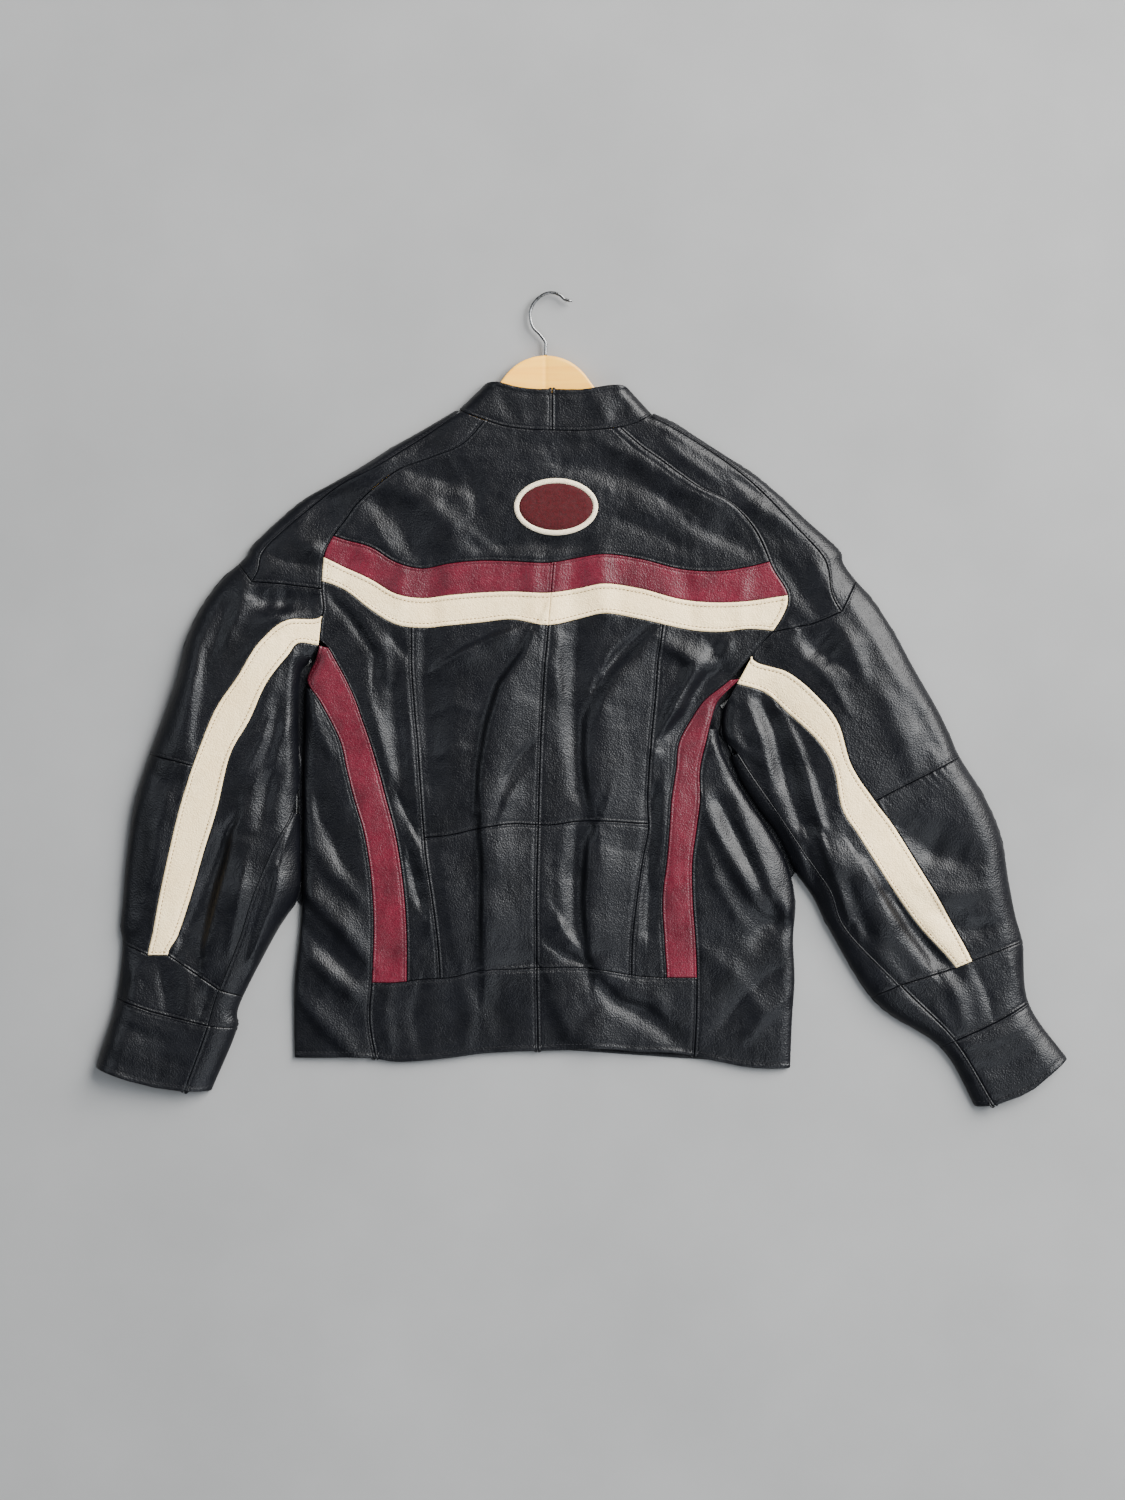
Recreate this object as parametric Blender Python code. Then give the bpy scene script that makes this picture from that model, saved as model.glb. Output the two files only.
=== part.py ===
"""A leather racing jacket lying face down, flat, on the wooden hanger that is still inside it.

The back of the jacket is a raised layer of cut panels that rolls down at its folded edges and rests on the flat
layer of the fronts. Seams are set out in the plan of the reference picture (see `Pixel`), heights in real sizes.
Run it with `blender --background --python part.py`, or from the text editor.
"""

import math
from typing import NamedTuple

import bmesh
import bpy
import numpy as np

MM = 0.001

# ------------------------------------------------------------------------------------------- driving sizes (metres)
HEM_WIDTH = 0.512           # across the laid hem, from side fold to side fold
HEM_PIXELS = 497.0          # the same stretch in the reference picture
PIXEL = HEM_WIDTH / HEM_PIXELS
WALL = 1.5 * MM             # leather with its backing
SEAM_GAP = 0.4 * MM         # between neighbouring panels
ARMHOLE_GAP = 0.4 * MM      # more where curved panels with unlike cells meet
REST_GAP = 0.3 * MM         # between layers that lie on each other
FOOT = WALL + REST_GAP      # where a rolled edge of the back meets the fronts
PITCH = 16.0 * MM           # wanted length of one cell of a panel
BODY_ROLL = 13.0 * MM       # radius of the rolled side of the body
SLEEVE_ROLL = 26.0 * MM     # radius of the rolled side of a sleeve
LEAST_RISE = 5.0 * MM       # lowest that a trough goes
HANGER_THICKNESS = 10.0 * MM
HANGER_BEVEL = 2.0 * MM
HOOK_RADIUS = 1.6 * MM
HOOK_SIDES = 8
HOOK_RINGS = 36
BADGE_LIFT = 0.6 * MM
BADGE_THICKNESS = 1.4 * MM
BADGE_RINGS = 3
BADGE_SPOKES = 24
SLIDER_LENGTH = 12.0 * MM
SLIDER_WIDTH = 9.0 * MM
SLIDER_THICKNESS = 3.0 * MM
SLIDER_BEVEL = 0.8 * MM


class Pixel(NamedTuple):
    """A place in the plan, in pixels of the reference picture, x to the right and y down."""

    x: float
    y: float


ORIGIN = Pixel(581.49, 698.8)       # over the middle of the part's footprint
HANGER_CENTRE = 545.5               # x of the hanger's middle
ZIP_LINE = 533.0                    # x of the zip at the hidden front
SLIT_REACH = 6.0                    # how far the fronts reach out under the slit beside a sleeve
SLIT_GAP = 1.2                      # how far they stay from the sleeve there
ZIP_HALF_WIDTH = 6.0                # half the width of the pair of tapes
LINE_POINTS = 61                    # points that a long seam or fold is looked up at
SETTLE_TURNS = 14                   # rounds in which a lattice of the body settles on its seams
BODY_LEFT, BODY_RIGHT = 300.0, 780.0    # where those rounds start from
NORMAL_REACH = 0.8 * MM             # how far inside a folded edge the outward direction is looked up
NORMAL_STEP = 0.5                   # half the stretch that a slope is measured over
LOWEST = 1072.0                     # just below the hem
BADGE_CENTRE = Pixel(556.0, 507.0)
BADGE_FACE = Pixel(35.0, 21.5)      # half width and half height
BADGE_EDGE = Pixel(42.0, 28.5)


# ------------------------------------------------------------------------------------------------- tables of sections
class ArmRow(NamedTuple):
    """One section across a shoulder and sleeve, from its outer fold to its inner one."""

    outer: Pixel            # outer fold
    ridge: Pixel | None     # seam of the outer strip, or none below the shoulder
    middle: Pixel | None    # half-way point on the shoulder
    seam: Pixel             # raglan seam, then the armhole, then the stripe's outer edge
    stripe: Pixel           # the stripe's inner edge
    under: Pixel            # seam of the under strip
    inner: Pixel            # inner fold


def shoulder(outer, ridge, middle, seam):
    """Give a section above the sleeve, which ends at the raglan seam."""
    raglan = Pixel(*seam)
    return ArmRow(Pixel(*outer), Pixel(*ridge), Pixel(*middle), raglan, raglan, raglan, raglan)


def sleeve(outer, seam, stripe, under, inner=None):
    """Give a section of the sleeve, whose under strip has no width where no inner point is given."""
    return ArmRow(Pixel(*outer), None, None, Pixel(*seam), Pixel(*stripe), Pixel(*under), Pixel(*(inner or under)))


#                  outer         ridge         middle        raglan seam
LEFT_ARM = [
    shoulder((452, 412), (461, 412.5), (471, 416.8), (485, 421.8)),
    shoulder((422, 429), (431, 432), (447, 438), (463, 444)),
    shoulder((390, 447), (400, 452), (415, 455), (430, 458)),
    shoulder((360, 466), (372, 469), (386, 469), (400, 469)),
    shoulder((332, 482), (343, 483), (359, 485), (375, 487)),
    shoulder((300, 501), (318, 501), (338, 503), (356, 505)),
    shoulder((277, 520), (293, 522), (318, 524), (346, 519)),
    shoulder((257, 539), (270, 543), (299, 547), (333.5, 536)),
    ArmRow(Pixel(238, 563), Pixel(252, 582), Pixel(280, 584), Pixel(321.6, 589), Pixel(320, 640),
           Pixel(316, 650), Pixel(316, 650)),
    ArmRow(Pixel(222, 577), Pixel(240, 598), Pixel(277, 606), Pixel(321.6, 616), Pixel(318.5, 645),
           Pixel(308, 662), Pixel(308, 662)),
    #      outer       seam          stripe        under         inner
    sleeve((203, 602), (289, 620), (300, 643), (302, 669)),
    sleeve((186, 636), (262, 640), (288, 656), (299, 684)),
    sleeve((177, 671), (238, 677), (268, 682), (298, 707)),
    sleeve((163, 713), (216, 710), (251, 719), (298, 740)),
    sleeve((148, 754), (194, 766), (231, 755), (299, 775)),
    sleeve((133, 802), (181, 806), (218, 808), (292, 812), (299, 815)),
    sleeve((125, 857), (169, 855), (204, 853), (272, 851), (299, 850)),
    sleeve((121, 905), (158, 905), (189, 903), (251, 903), (296, 900)),
    sleeve((119, 927), (153, 932), (178, 935), (240, 938), (276, 932)),
    sleeve((121, 943), (148, 955), (168, 955), (219, 990), (242, 997)),
    sleeve((115, 998), (150, 1011), (172, 1017), (208, 1026), (236, 1029)),
    sleeve((94, 1068), (130, 1081), (156, 1088), (184, 1092), (210, 1092)),
]
RIGHT_ARM = [
    shoulder((654, 412), (649, 417), (636, 424), (619, 428)),
    shoulder((675, 422), (668, 425), (654, 434), (640, 446)),
    shoulder((702, 439), (695, 441), (677, 452), (660, 460)),
    shoulder((727, 455), (718, 456), (700, 467), (680, 475)),
    shoulder((753, 472), (744, 476), (724, 484), (701, 489)),
    shoulder((779, 493), (768, 498), (746, 503), (727, 501)),
    shoulder((808, 520), (793, 524), (771, 528), (753, 527)),
    shoulder((835, 544), (820, 553), (793, 560), (769.6, 562)),
    ArmRow(Pixel(857, 580), Pixel(841, 612), Pixel(812, 624), Pixel(772, 632), Pixel(739, 680),
           Pixel(729, 698), Pixel(729, 698)),
    ArmRow(Pixel(872, 597), Pixel(853, 626), Pixel(812, 645), Pixel(752, 656), Pixel(737.5, 683.5),
           Pixel(724.5, 706), Pixel(724.5, 706)),
    sleeve((893, 628), (787, 672), (762, 691), (722, 722)),
    sleeve((915, 668), (818, 698), (790, 715), (724, 738)),
    sleeve((938, 708), (838, 725), (817, 741), (738, 753), (731, 757)),
    sleeve((950, 732), (850, 764), (832, 765), (753, 776), (740, 779)),
    sleeve((961, 757), (874, 801), (841, 808), (775, 808), (758, 808)),
    sleeve((985, 795), (893, 826), (857, 834), (795, 838), (779, 837)),
    sleeve((1003, 838), (918, 866), (878, 867), (815, 867), (796, 872)),
    sleeve((1010, 880), (938, 899), (899, 899), (832, 893), (814, 898)),
    sleeve((1016, 912), (955, 929), (918, 925), (844, 925), (829, 928)),
    sleeve((1024, 942), (972, 961), (956, 968), (900, 985), (872, 998)),
    sleeve((1030, 1003), (996, 1022), (984, 1028), (955, 1041), (941, 1048)),
    sleeve((1069, 1060), (1035, 1089), (1020, 1097), (995, 1106), (977, 1108)),
]
# rows of both tables where a seam crosses the sleeve
NECK, BAND, CAP, ARMHOLE, ELBOW, WRIST, CUFF, CUFF_HEM = 0, 7, 8, 9, 14, 19, 20, 21
LEFT_UNDER_START, RIGHT_UNDER_START = 15, 12
UPPER_ARM_SHARES = (0.22, 0.6)      # where the plain columns of a sleeve lie between its outer fold and its seam
OUTER, RIDGE, MIDDLE, SEAM, STRIPE, UNDER, INNER = range(7)
ARM_STEPS = (                       # cell edges inside each interval of columns, finer at the rolled edges
    (0.0, 0.12, 0.42), (0.0, 0.5), (0.0, 0.5), (0.0, 0.5), (0.0, 0.3, 0.6, 0.82, 0.94), (0.0, 0.45))


class Down(NamedTuple):
    """One section across the body: where each seam that runs down the back lies at a height in the plan."""

    y: float
    side_left: float
    stripe_out_left: float
    stripe_in_left: float
    princess_left: float
    centre: float
    princess_right: float
    stripe_in_right: float
    stripe_out_right: float
    side_right: float


DOWN = [
    #    y     side   stripe left     princess  centre  princess  stripe right    side
    Down(640, 319.0, 319.0, 320.0, 411.0, 547.0, 660.8, 765.3, 765.6, 765.9),
    Down(646, 318.5, 319.0, 326.5, 411.0, 546.5, 660.0, 760.0, 760.3, 760.6),
    Down(660, 314.0, 314.6, 335.0, 411.0, 545.0, 658.0, 748.0, 749.2, 749.6),
    Down(680, 305.0, 306.5, 346.0, 412.0, 543.6, 656.5, 730.0, 738.2, 738.8),
    Down(700, 303.8, 319.0, 355.0, 413.5, 542.5, 655.0, 705.0, 719.0, 720.0),
    Down(720, 303.2, 330.0, 362.0, 415.0, 541.5, 653.0, 691.0, 711.5, 717.0),
    Down(740, 302.8, 339.5, 369.0, 417.0, 540.5, 651.0, 680.0, 706.5, 720.0),
    Down(770, 302.4, 346.5, 378.0, 419.0, 539.5, 648.8, 676.0, 700.0, 731.0),
    Down(800, 302.0, 354.0, 386.0, 421.0, 538.5, 647.5, 671.5, 700.0, 749.0),
    Down(830, 302.0, 363.0, 394.0, 423.0, 537.8, 648.5, 669.5, 696.5, 769.5),
    Down(860, 302.0, 368.5, 399.5, 426.0, 537.0, 643.0, 667.0, 692.5, 786.0),
    Down(900, 301.0, 372.5, 404.3, 432.0, 536.2, 637.0, 662.5, 692.7, 796.0),
    Down(940, 298.0, 373.3, 406.5, 437.0, 536.5, 632.5, 664.5, 695.5, 794.0),
    Down(980, 293.5, 371.6, 406.4, 439.6, 536.5, 631.4, 667.0, 697.0, 795.5),
    Down(1020, 293.0, 369.0, 406.4, 440.0, 537.2, 631.2, 667.0, 696.5, 793.0),
    Down(1070, 294.0, 377.0, 406.4, 440.0, 538.0, 631.0, 667.0, 693.6, 791.0),
]
BODY_COLUMNS = Down._fields[1:]


class Across(NamedTuple):
    """One section down the body: how low each seam that runs across the back lies at a place along it."""

    x: float
    burgundy_top: float
    cream_top: float
    cream_bottom: float
    waist: float
    hem_seam: float
    hem_edge: float


ACROSS = [
    #       x    burgundy   cream top and bottom   waist   hem seam and edge
    Across(292, 528.0, 550.0, 576.0, 842.0, 983.0, 1059.0),
    Across(320, 532.0, 556.0, 580.5, 842.0, 983.0, 1059.0),
    Across(345, 540.0, 567.5, 590.0, 842.0, 983.0, 1059.0),
    Across(371, 547.5, 579.5, 610.0, 841.0, 983.0, 1059.5),
    Across(395, 562.0, 593.5, 624.0, 840.0, 983.0, 1063.0),
    Across(420, 568.5, 598.0, 627.8, 838.0, 980.0, 1062.0),
    Across(450, 563.5, 595.0, 625.3, 835.0, 978.0, 1059.0),
    Across(480, 560.7, 592.6, 622.5, 828.3, 971.0, 1055.0),
    Across(510, 561.3, 591.5, 619.3, 824.0, 969.4, 1053.0),
    Across(550, 562.7, 592.6, 625.0, 825.0, 967.6, 1051.8),
    Across(580, 557.5, 588.0, 618.5, 821.4, 967.8, 1051.0),
    Across(600, 554.4, 584.0, 613.8, 821.0, 970.0, 1050.0),
    Across(640, 559.0, 588.5, 619.0, 823.5, 976.4, 1053.0),
    Across(680, 569.0, 599.0, 628.0, 825.0, 978.0, 1055.0),
    Across(698, 571.0, 601.5, 631.0, 825.0, 978.0, 1058.7),
    Across(720, 571.0, 602.5, 632.0, 826.0, 978.0, 1063.0),
    Across(750, 566.5, 601.0, 629.0, 826.0, 978.0, 1068.7),
    Across(776, 560.0, 597.0, 631.0, 826.0, 978.0, 1070.0),
    Across(796, 556.0, 594.0, 632.0, 826.0, 978.0, 1069.0),
]
BURGUNDY_TOP, CREAM_TOP, CREAM_BOTTOM, WAIST, HEM_SEAM, HEM_EDGE = range(6)
BODY_ROWS = (2, 2, 12, 9, 4)       # cells between one seam across the back and the next
STRIPE_START = 3                    # row of cells below the cream band where the side stripes come out
SIDE_START = {"left": 5, "right": 6}    # rows of cells below the cream band where the side panels come out
NARROW, WIDE = 10.0, 50.0           # pixels: cells lie evenly in a narrow panel, and as graded in a wide one


BACK_STEPS = {                      # cell edges between neighbouring seams down the back
    "side": np.array([0.0, 0.04, 0.15, 0.4, 0.7, 1.0]),
    "stripe": np.array([0.0, 0.5, 1.0]),
    "side_back": np.linspace(0, 1, 5),
    "centre": np.linspace(0, 1, 9),
}


class CollarRow(NamedTuple):
    """One section of the stand collar, from its top edge to its seam."""

    top: Pixel
    seam: Pixel


COLLAR = [
    CollarRow(Pixel(487, 381.0), Pixel(459, 408.0)),
    CollarRow(Pixel(491, 381.0), Pixel(466, 413.0)),
    CollarRow(Pixel(500, 382.0), Pixel(480, 418.5)),
    CollarRow(Pixel(515, 386.0), Pixel(503, 426.0)),
    CollarRow(Pixel(533, 388.5), Pixel(528, 429.5)),
    CollarRow(Pixel(552, 388.8), Pixel(552, 430.3)),
    CollarRow(Pixel(580, 389.0), Pixel(580, 430.8)),
    CollarRow(Pixel(598, 386.5), Pixel(604, 429.0)),
    CollarRow(Pixel(613, 384.5), Pixel(628, 425.5)),
    CollarRow(Pixel(624, 385.5), Pixel(645, 418.5)),
    CollarRow(Pixel(630, 389.0), Pixel(652, 413.0)),
]
COLLAR_CENTRE = 5
COLLAR_CELLS = 4


class Rise(NamedTuple):
    """How high the back layer stands at a height in the plan, in millimetres."""

    y: float
    body: float
    arm: float


RISES = [
    Rise(380, 17.5, 17.5),
    Rise(560, 17.0, 19.0),
    Rise(640, 15.0, 23.0),
    Rise(750, 13.5, 25.0),
    Rise(860, 13.0, 22.0),
    Rise(960, 11.0, 17.0),
    Rise(1020, 8.5, 18.0),
    Rise(1110, 6.0, 15.0),
]


class Swell(NamedTuple):
    """Where the back takes on a sleeve's fuller form, in pixels."""

    x: float
    breadth: float
    armpit: float           # y below which the body no longer does


SWELLS = {"left": Swell(338.0, 70.0, 640.0), "right": Swell(752.0, 90.0, 676.0)}
SWELL_FADE = 60.0


class Fold(NamedTuple):
    """A straight fold in the leather: a ridge where its rise is above zero, or else a trough."""

    x_from: float
    y_from: float
    x_to: float
    y_to: float
    half_width: float       # pixels
    rise: float             # millimetres


ARM_FOLDS = [
    Fold(226, 835, 196, 915, 12, -6.0),
    Fold(238, 838, 222, 930, 9, 5.0),
    Fold(276, 880, 250, 950, 11, 5.0),
    Fold(294, 670, 294, 780, 9, 4.0),
    Fold(190, 650, 188, 760, 12, 3.0),
    Fold(268, 603, 305, 603, 9, -6.0),
    Fold(270, 622, 292, 612, 9, 4.0),
    Fold(290, 518, 350, 492, 11, -5.0),
    Fold(764, 702, 788, 780, 11, -6.0),
    Fold(788, 780, 806, 830, 10, -5.0),
    Fold(786, 722, 816, 812, 9, 5.0),
    Fold(866, 872, 918, 954, 9, 5.0),
    Fold(894, 898, 952, 966, 8, -5.0),
    Fold(824, 842, 846, 908, 9, 5.0),
    Fold(904, 832, 962, 862, 14, -5.0),
    Fold(810, 642, 828, 660, 12, -5.0),
    Fold(904, 620, 880, 560, 14, 3.0),
]
BODY_FOLDS = [
    Fold(304, 892, 366, 962, 10, 4.0),
    Fold(304, 1002, 356, 1050, 10, 3.0),
    Fold(334, 600, 374, 660, 9, -4.0),
    Fold(400, 805, 420, 905, 9, -3.5),
    Fold(425, 640, 426, 780, 11, -4.0),
    Fold(452, 660, 520, 628, 10, 5.0),
    Fold(528, 650, 486, 756, 10, 5.0),
    Fold(484, 756, 484, 800, 9, 4.0),
    Fold(486, 830, 485, 960, 10, 3.5),
    Fold(470, 680, 466, 800, 14, -4.5),
    Fold(575, 645, 574, 770, 10, -5.0),
    Fold(590, 705, 600, 756, 10, 4.0),
    Fold(596, 828, 589, 950, 9, 4.5),
    Fold(572, 832, 572, 925, 10, -4.0),
    Fold(545, 944, 584, 962, 8, -4.0),
    Fold(640, 632, 594, 694, 9, -4.0),
    Fold(672, 654, 694, 664, 9, 4.5),
    Fold(692, 672, 658, 746, 9, 5.0),
    Fold(720, 674, 664, 738, 9, -5.0),
    Fold(650, 805, 650, 940, 9, -4.5),
    Fold(708, 812, 768, 914, 11, 5.0),
    Fold(742, 822, 782, 908, 9, 4.0),
    Fold(764, 934, 770, 916, 14, -5.0),
    Fold(604, 978, 666, 1014, 10, 2.5),
    Fold(365, 497, 408, 545, 14, -2.5),
    Fold(470, 552, 576, 546, 9, -2.5),
    Fold(656, 484, 716, 502, 12, 2.5),
    Fold(432, 520, 458, 548, 18, 2.0),
]


class HangerRow(NamedTuple):
    """One section of the hanger's arm, by its distance from the middle."""

    away: float
    top: float
    bottom: float


HANGER = [
    HangerRow(0, 354.7, 394.0),
    HangerRow(12, 356.4, 395.0),
    HangerRow(25, 361.5, 399.0),
    HangerRow(37, 371.0, 405.0),
    HangerRow(50, 388.0, 416.0),
    HangerRow(72, 408.0, 433.0),
    HangerRow(100, 434.0, 457.0),
    HangerRow(140, 462.0, 483.0),
    HangerRow(176, 489.0, 507.0),
]
HOOK_ROUTE = [
    Pixel(545.5, 354.4), Pixel(545.5, 347.0), Pixel(545.3, 341.0), Pixel(540.0, 333.5), Pixel(533.0, 326.0),
    Pixel(530.3, 316.5), Pixel(531.0, 307.5), Pixel(536.0, 299.0), Pixel(544.0, 293.0), Pixel(552.0, 291.4),
    Pixel(559.5, 293.6), Pixel(565.0, 298.0), Pixel(572.0, 300.0),
]

# The hidden front: neckline from the left fold to the zip, and the collar's front top edge, mirrored on the right.
NECK_LOW = 452.0
NECK_BEND = Pixel(50.0, 440.0)      # x counted from the zip
FRONT_COLLAR_LOW = 412.0
COLLAR_BEND = Pixel(26.0, 402.0)    # x counted from the zip
FINISHES = {
    "black": ((0.012, 0.014, 0.020, 1.0), 0.42, 0.0),
    "cream": ((0.78, 0.72, 0.58, 1.0), 0.45, 0.0),
    "burgundy": ((0.20, 0.012, 0.030, 1.0), 0.42, 0.0),
    "wood": ((0.62, 0.38, 0.17, 1.0), 0.45, 0.0),
    "steel": ((0.62, 0.62, 0.64, 1.0), 0.25, 1.0),
    "zip": ((0.05, 0.05, 0.055, 1.0), 0.6, 0.0),
}


# -------------------------------------------------------------------------------------------------------- small maths
def spline(knots, values, at):
    """Give a smooth curve's values at some places, through `values` at `knots`."""
    knots = np.asarray(knots, float)
    values = np.asarray(values, float)
    at = np.asarray(at, float)
    slopes = np.gradient(values, knots, axis=0)
    cell = np.clip(np.searchsorted(knots, at, side="right") - 1, 0, len(knots) - 2)
    width = knots[cell + 1] - knots[cell]
    share = (at - knots[cell]) / width
    if values.ndim > 1:
        width = width[:, None]
        share = share[:, None]
    start, end = values[cell], values[cell + 1]
    rise = end - start
    from_start = slopes[cell] * width
    from_end = slopes[cell + 1] * width
    return (start + share * (from_start + share * (3 * rise - 2 * from_start - from_end
                                                   + share * (from_start + from_end - 2 * rise))))


def plan(points):
    """Turn picture places into metres in the part's plan."""
    points = np.asarray(points, float)
    return np.stack(((points[..., 0] - ORIGIN.x) * PIXEL, (ORIGIN.y - points[..., 1]) * PIXEL), axis=-1)


def near_line(points, start, end):
    """Give each point's distance to a straight line piece."""
    run = end - start
    along = np.clip(((points - start) @ run) / max(run @ run, 1e-12), 0.0, 1.0)
    return np.linalg.norm(points - start - along[..., None] * run, axis=-1)


# ------------------------------------------------------------------------------------------------------ arms in plan
def arm_grid(table):
    """Give the arm's section points as an array of rows, columns and the two plan directions, in pixels."""
    rows = []
    for row in table:
        points = [np.array(point, float) if point else None for point in row]
        for column, share in zip((RIDGE, MIDDLE), UPPER_ARM_SHARES):
            if points[column] is None:
                points[column] = points[OUTER] + share * (points[SEAM] - points[OUTER])
        rows.append(points)
    return np.array(rows)


def stretch(steps):
    """Give knots as far apart as some steps, none of them zero."""
    return np.concatenate(([0.0], np.cumsum(np.maximum(steps, 0.01))))


def arm_point(grid, rows, columns):
    """Give the plan points of a lattice of row and column places on an arm."""
    row_knots = stretch(np.linalg.norm(np.diff(grid, axis=0), axis=-1).mean(axis=1))
    at = np.interp(rows, np.arange(len(grid)), row_knots)
    down = spline(row_knots, grid.reshape(len(grid), -1), at).reshape(len(rows), -1, 2)
    whole = np.arange(grid.shape[1])
    return np.array([[np.interp(columns, whole, line[:, axis]) for axis in (0, 1)] for line in down]).transpose(0, 2, 1)


def arm_rows(grid, first, last):
    """Give the row places between two sections, a whole number of cells from each section to the next."""
    places = []
    for row in range(first, last):
        length = np.linalg.norm(grid[row + 1] - grid[row], axis=-1).mean() * PIXEL
        cells = 2 if row < CAP else max(1, round(length / PITCH))
        places.extend(row + np.arange(cells) / cells)
    return np.array(places + [last], float)


def arm_columns(first, last):
    """Give the column places between two seams that run down the arm."""
    places = [column + share for column in range(first, last) for share in ARM_STEPS[column]]
    return np.array(places + [last], float)


GRIDS = {"left": arm_grid(LEFT_ARM), "right": arm_grid(RIGHT_ARM)}


# ------------------------------------------------------------------------------------------------------ body in plan
def seam_down(column, y):
    """Give the x of a seam that runs down the back, which follows the armhole above the first section."""
    y = np.asarray(y, float)
    table = np.array(DOWN)
    index = Down._fields.index(column)
    below = spline(table[:, 0], table[:, index], np.maximum(y, DOWN[0].y))
    if column in ("princess_left", "centre", "princess_right"):
        slope = (table[1, index] - table[0, index]) / (table[1, 0] - table[0, 0])
        return np.where(y < DOWN[0].y, table[0, index] + slope * (y - DOWN[0].y), below)
    side = "left" if column.endswith("left") else "right"
    return np.where(y < DOWN[0].y, armhole(side, y), below)


def armhole(side, y):
    """Give the x of the raglan and armhole seam at a height in the plan."""
    line = ARMHOLES[side]
    return np.interp(y, line[:, 1], line[:, 0])


def armhole_line(side):
    """Give the raglan and armhole seam as a line strip from the neck to the end of the sleeve's stripe."""
    grid = GRIDS[side]
    line = arm_point(grid, arm_rows(grid, NECK, ARMHOLE), np.array([float(SEAM)]))[:, 0]
    return np.vstack((line, grid[ARMHOLE, STRIPE]))


ARMHOLES = {side: armhole_line(side) for side in GRIDS}


def seam_across(level, x):
    """Give the y of the seam that runs across the back at a whole or part level."""
    table = np.array(ACROSS)
    heights = spline(table[:, 0], table[:, 1:], np.clip(x, table[0, 0], table[-1, 0]))
    base = min(int(level), HEM_EDGE - 1)
    share = level - base
    return heights[:, base] * (1 - share) + heights[:, base + 1] * share


def body_lattice(left, right, levels, graded):
    """Give plan points of a lattice between two seams down the back, at some levels across it."""
    even = np.linspace(0, 1, len(graded))
    rows = []
    for level in levels:
        shares = even
        x = BODY_LEFT * (1 - shares) + BODY_RIGHT * shares
        for _ in range(SETTLE_TURNS):
            y = seam_across(level, x)
            start, end = seam_down(left, y), seam_down(right, y)
            breadth = np.clip((abs(end - start).mean() - NARROW) / (WIDE - NARROW), 0.0, 1.0)
            shares = even * (1 - breadth) + graded * breadth
            x = (1 - shares) * start + shares * end
        rows.append(np.stack((x, seam_across(level, x)), axis=-1))
    return np.array(rows)


def body_levels(first, last, skip=0):
    """Give the levels between two seams across the back, leaving out some rows of cells at the start."""
    places = []
    for level in range(first, last):
        places.extend(level + np.arange(BODY_ROWS[level]) / BODY_ROWS[level])
    return (places + [float(last)])[skip:]


# ------------------------------------------------------------------------------------------------------------ heights
def fold_lines():
    """Give the folded edges of the laid jacket as line strips: the outside of each arm, and each armpit slit."""
    lines = []
    for side, column in (("left", "side_left"), ("right", "side_right")):
        grid = GRIDS[side]
        outside = arm_point(grid, np.linspace(NECK, CUFF_HEM, LINE_POINTS), np.array([float(OUTER)]))[:, 0]
        collar_row = COLLAR[0] if side == "left" else COLLAR[-1]
        collar = np.array([collar_row.top, collar_row.seam])
        lines.append(np.vstack((collar, outside)))
        inside = arm_point(grid, np.linspace(ARMHOLE, CUFF_HEM, LINE_POINTS), np.array([float(INNER)]))[:, 0]
        lines.append(inside)
        heights = np.linspace(grid[ARMHOLE, INNER, 1] - 2.0, LOWEST, LINE_POINTS)
        lines.append(np.stack((seam_down(column, heights), heights), axis=-1))
    return lines


FOLD_LINES = fold_lines()


def edge_distance(points):
    """Give each plan point's distance to the nearest folded edge, in metres."""
    nearest = np.full(points.shape[:-1], 1e3)
    for line in FOLD_LINES:
        for start, end in zip(line[:-1], line[1:]):
            nearest = np.minimum(nearest, near_line(points, start, end))
    return nearest * PIXEL


def arm_share(points, zone):
    """Give how far a place takes the arm's fuller form, from 0 on the back to 1 on the sleeve."""
    x, y = points[..., 0], points[..., 1]
    left, right = SWELLS["left"], SWELLS["right"]
    across = np.clip(np.maximum((left.x - x) / left.breadth, (x - right.x) / right.breadth), 0.0, 1.0)
    across = across * across * (3 - 2 * across)
    if zone == "arm":
        return across
    armpit = np.where(x < ORIGIN.x, left.armpit, right.armpit)
    return across * np.clip(1 - (y - armpit) / SWELL_FADE, 0.0, 1.0)


def height(points, zone):
    """Give the outer height of the back layer at plan points, in metres."""
    share = arm_share(points, zone)
    table = np.array(RISES)
    rises = spline(table[:, 0], table[:, 1:] * MM, np.clip(points[..., 1].ravel(), 380, 1110))
    rises = rises.reshape(points.shape[:-1] + (2,))
    rise = rises[..., 0] * (1 - share) + rises[..., 1] * share
    for fold in (ARM_FOLDS if zone == "arm" else BODY_FOLDS):
        start = np.array([fold.x_from, fold.y_from])
        end = np.array([fold.x_to, fold.y_to])
        away = near_line(points, start, end) / fold.half_width
        rise = rise + fold.rise * MM * np.exp(-away * away)
    rise = np.maximum(rise, LEAST_RISE)
    roll = BODY_ROLL * (1 - share) + SLEEVE_ROLL * share
    inside = 1 - np.clip(edge_distance(points) / roll, 0.0, 1.0)
    return FOOT + (rise - FOOT) * np.sqrt(1 - inside * inside)


# ------------------------------------------------------------------------------------------------------- making solids
def clear_scene():
    """Remove every object of the open scene."""
    for item in list(bpy.data.objects):
        bpy.data.objects.remove(item, do_unlink=True)


def finish_for(name):
    """Make a finish by name."""
    colour, roughness, metallic = FINISHES[name]
    material = bpy.data.materials.new(name)
    material.use_nodes = True
    shader = material.node_tree.nodes["Principled BSDF"]
    shader.inputs["Base Color"].default_value = colour
    shader.inputs["Roughness"].default_value = roughness
    shader.inputs["Metallic"].default_value = metallic
    return material


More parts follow.
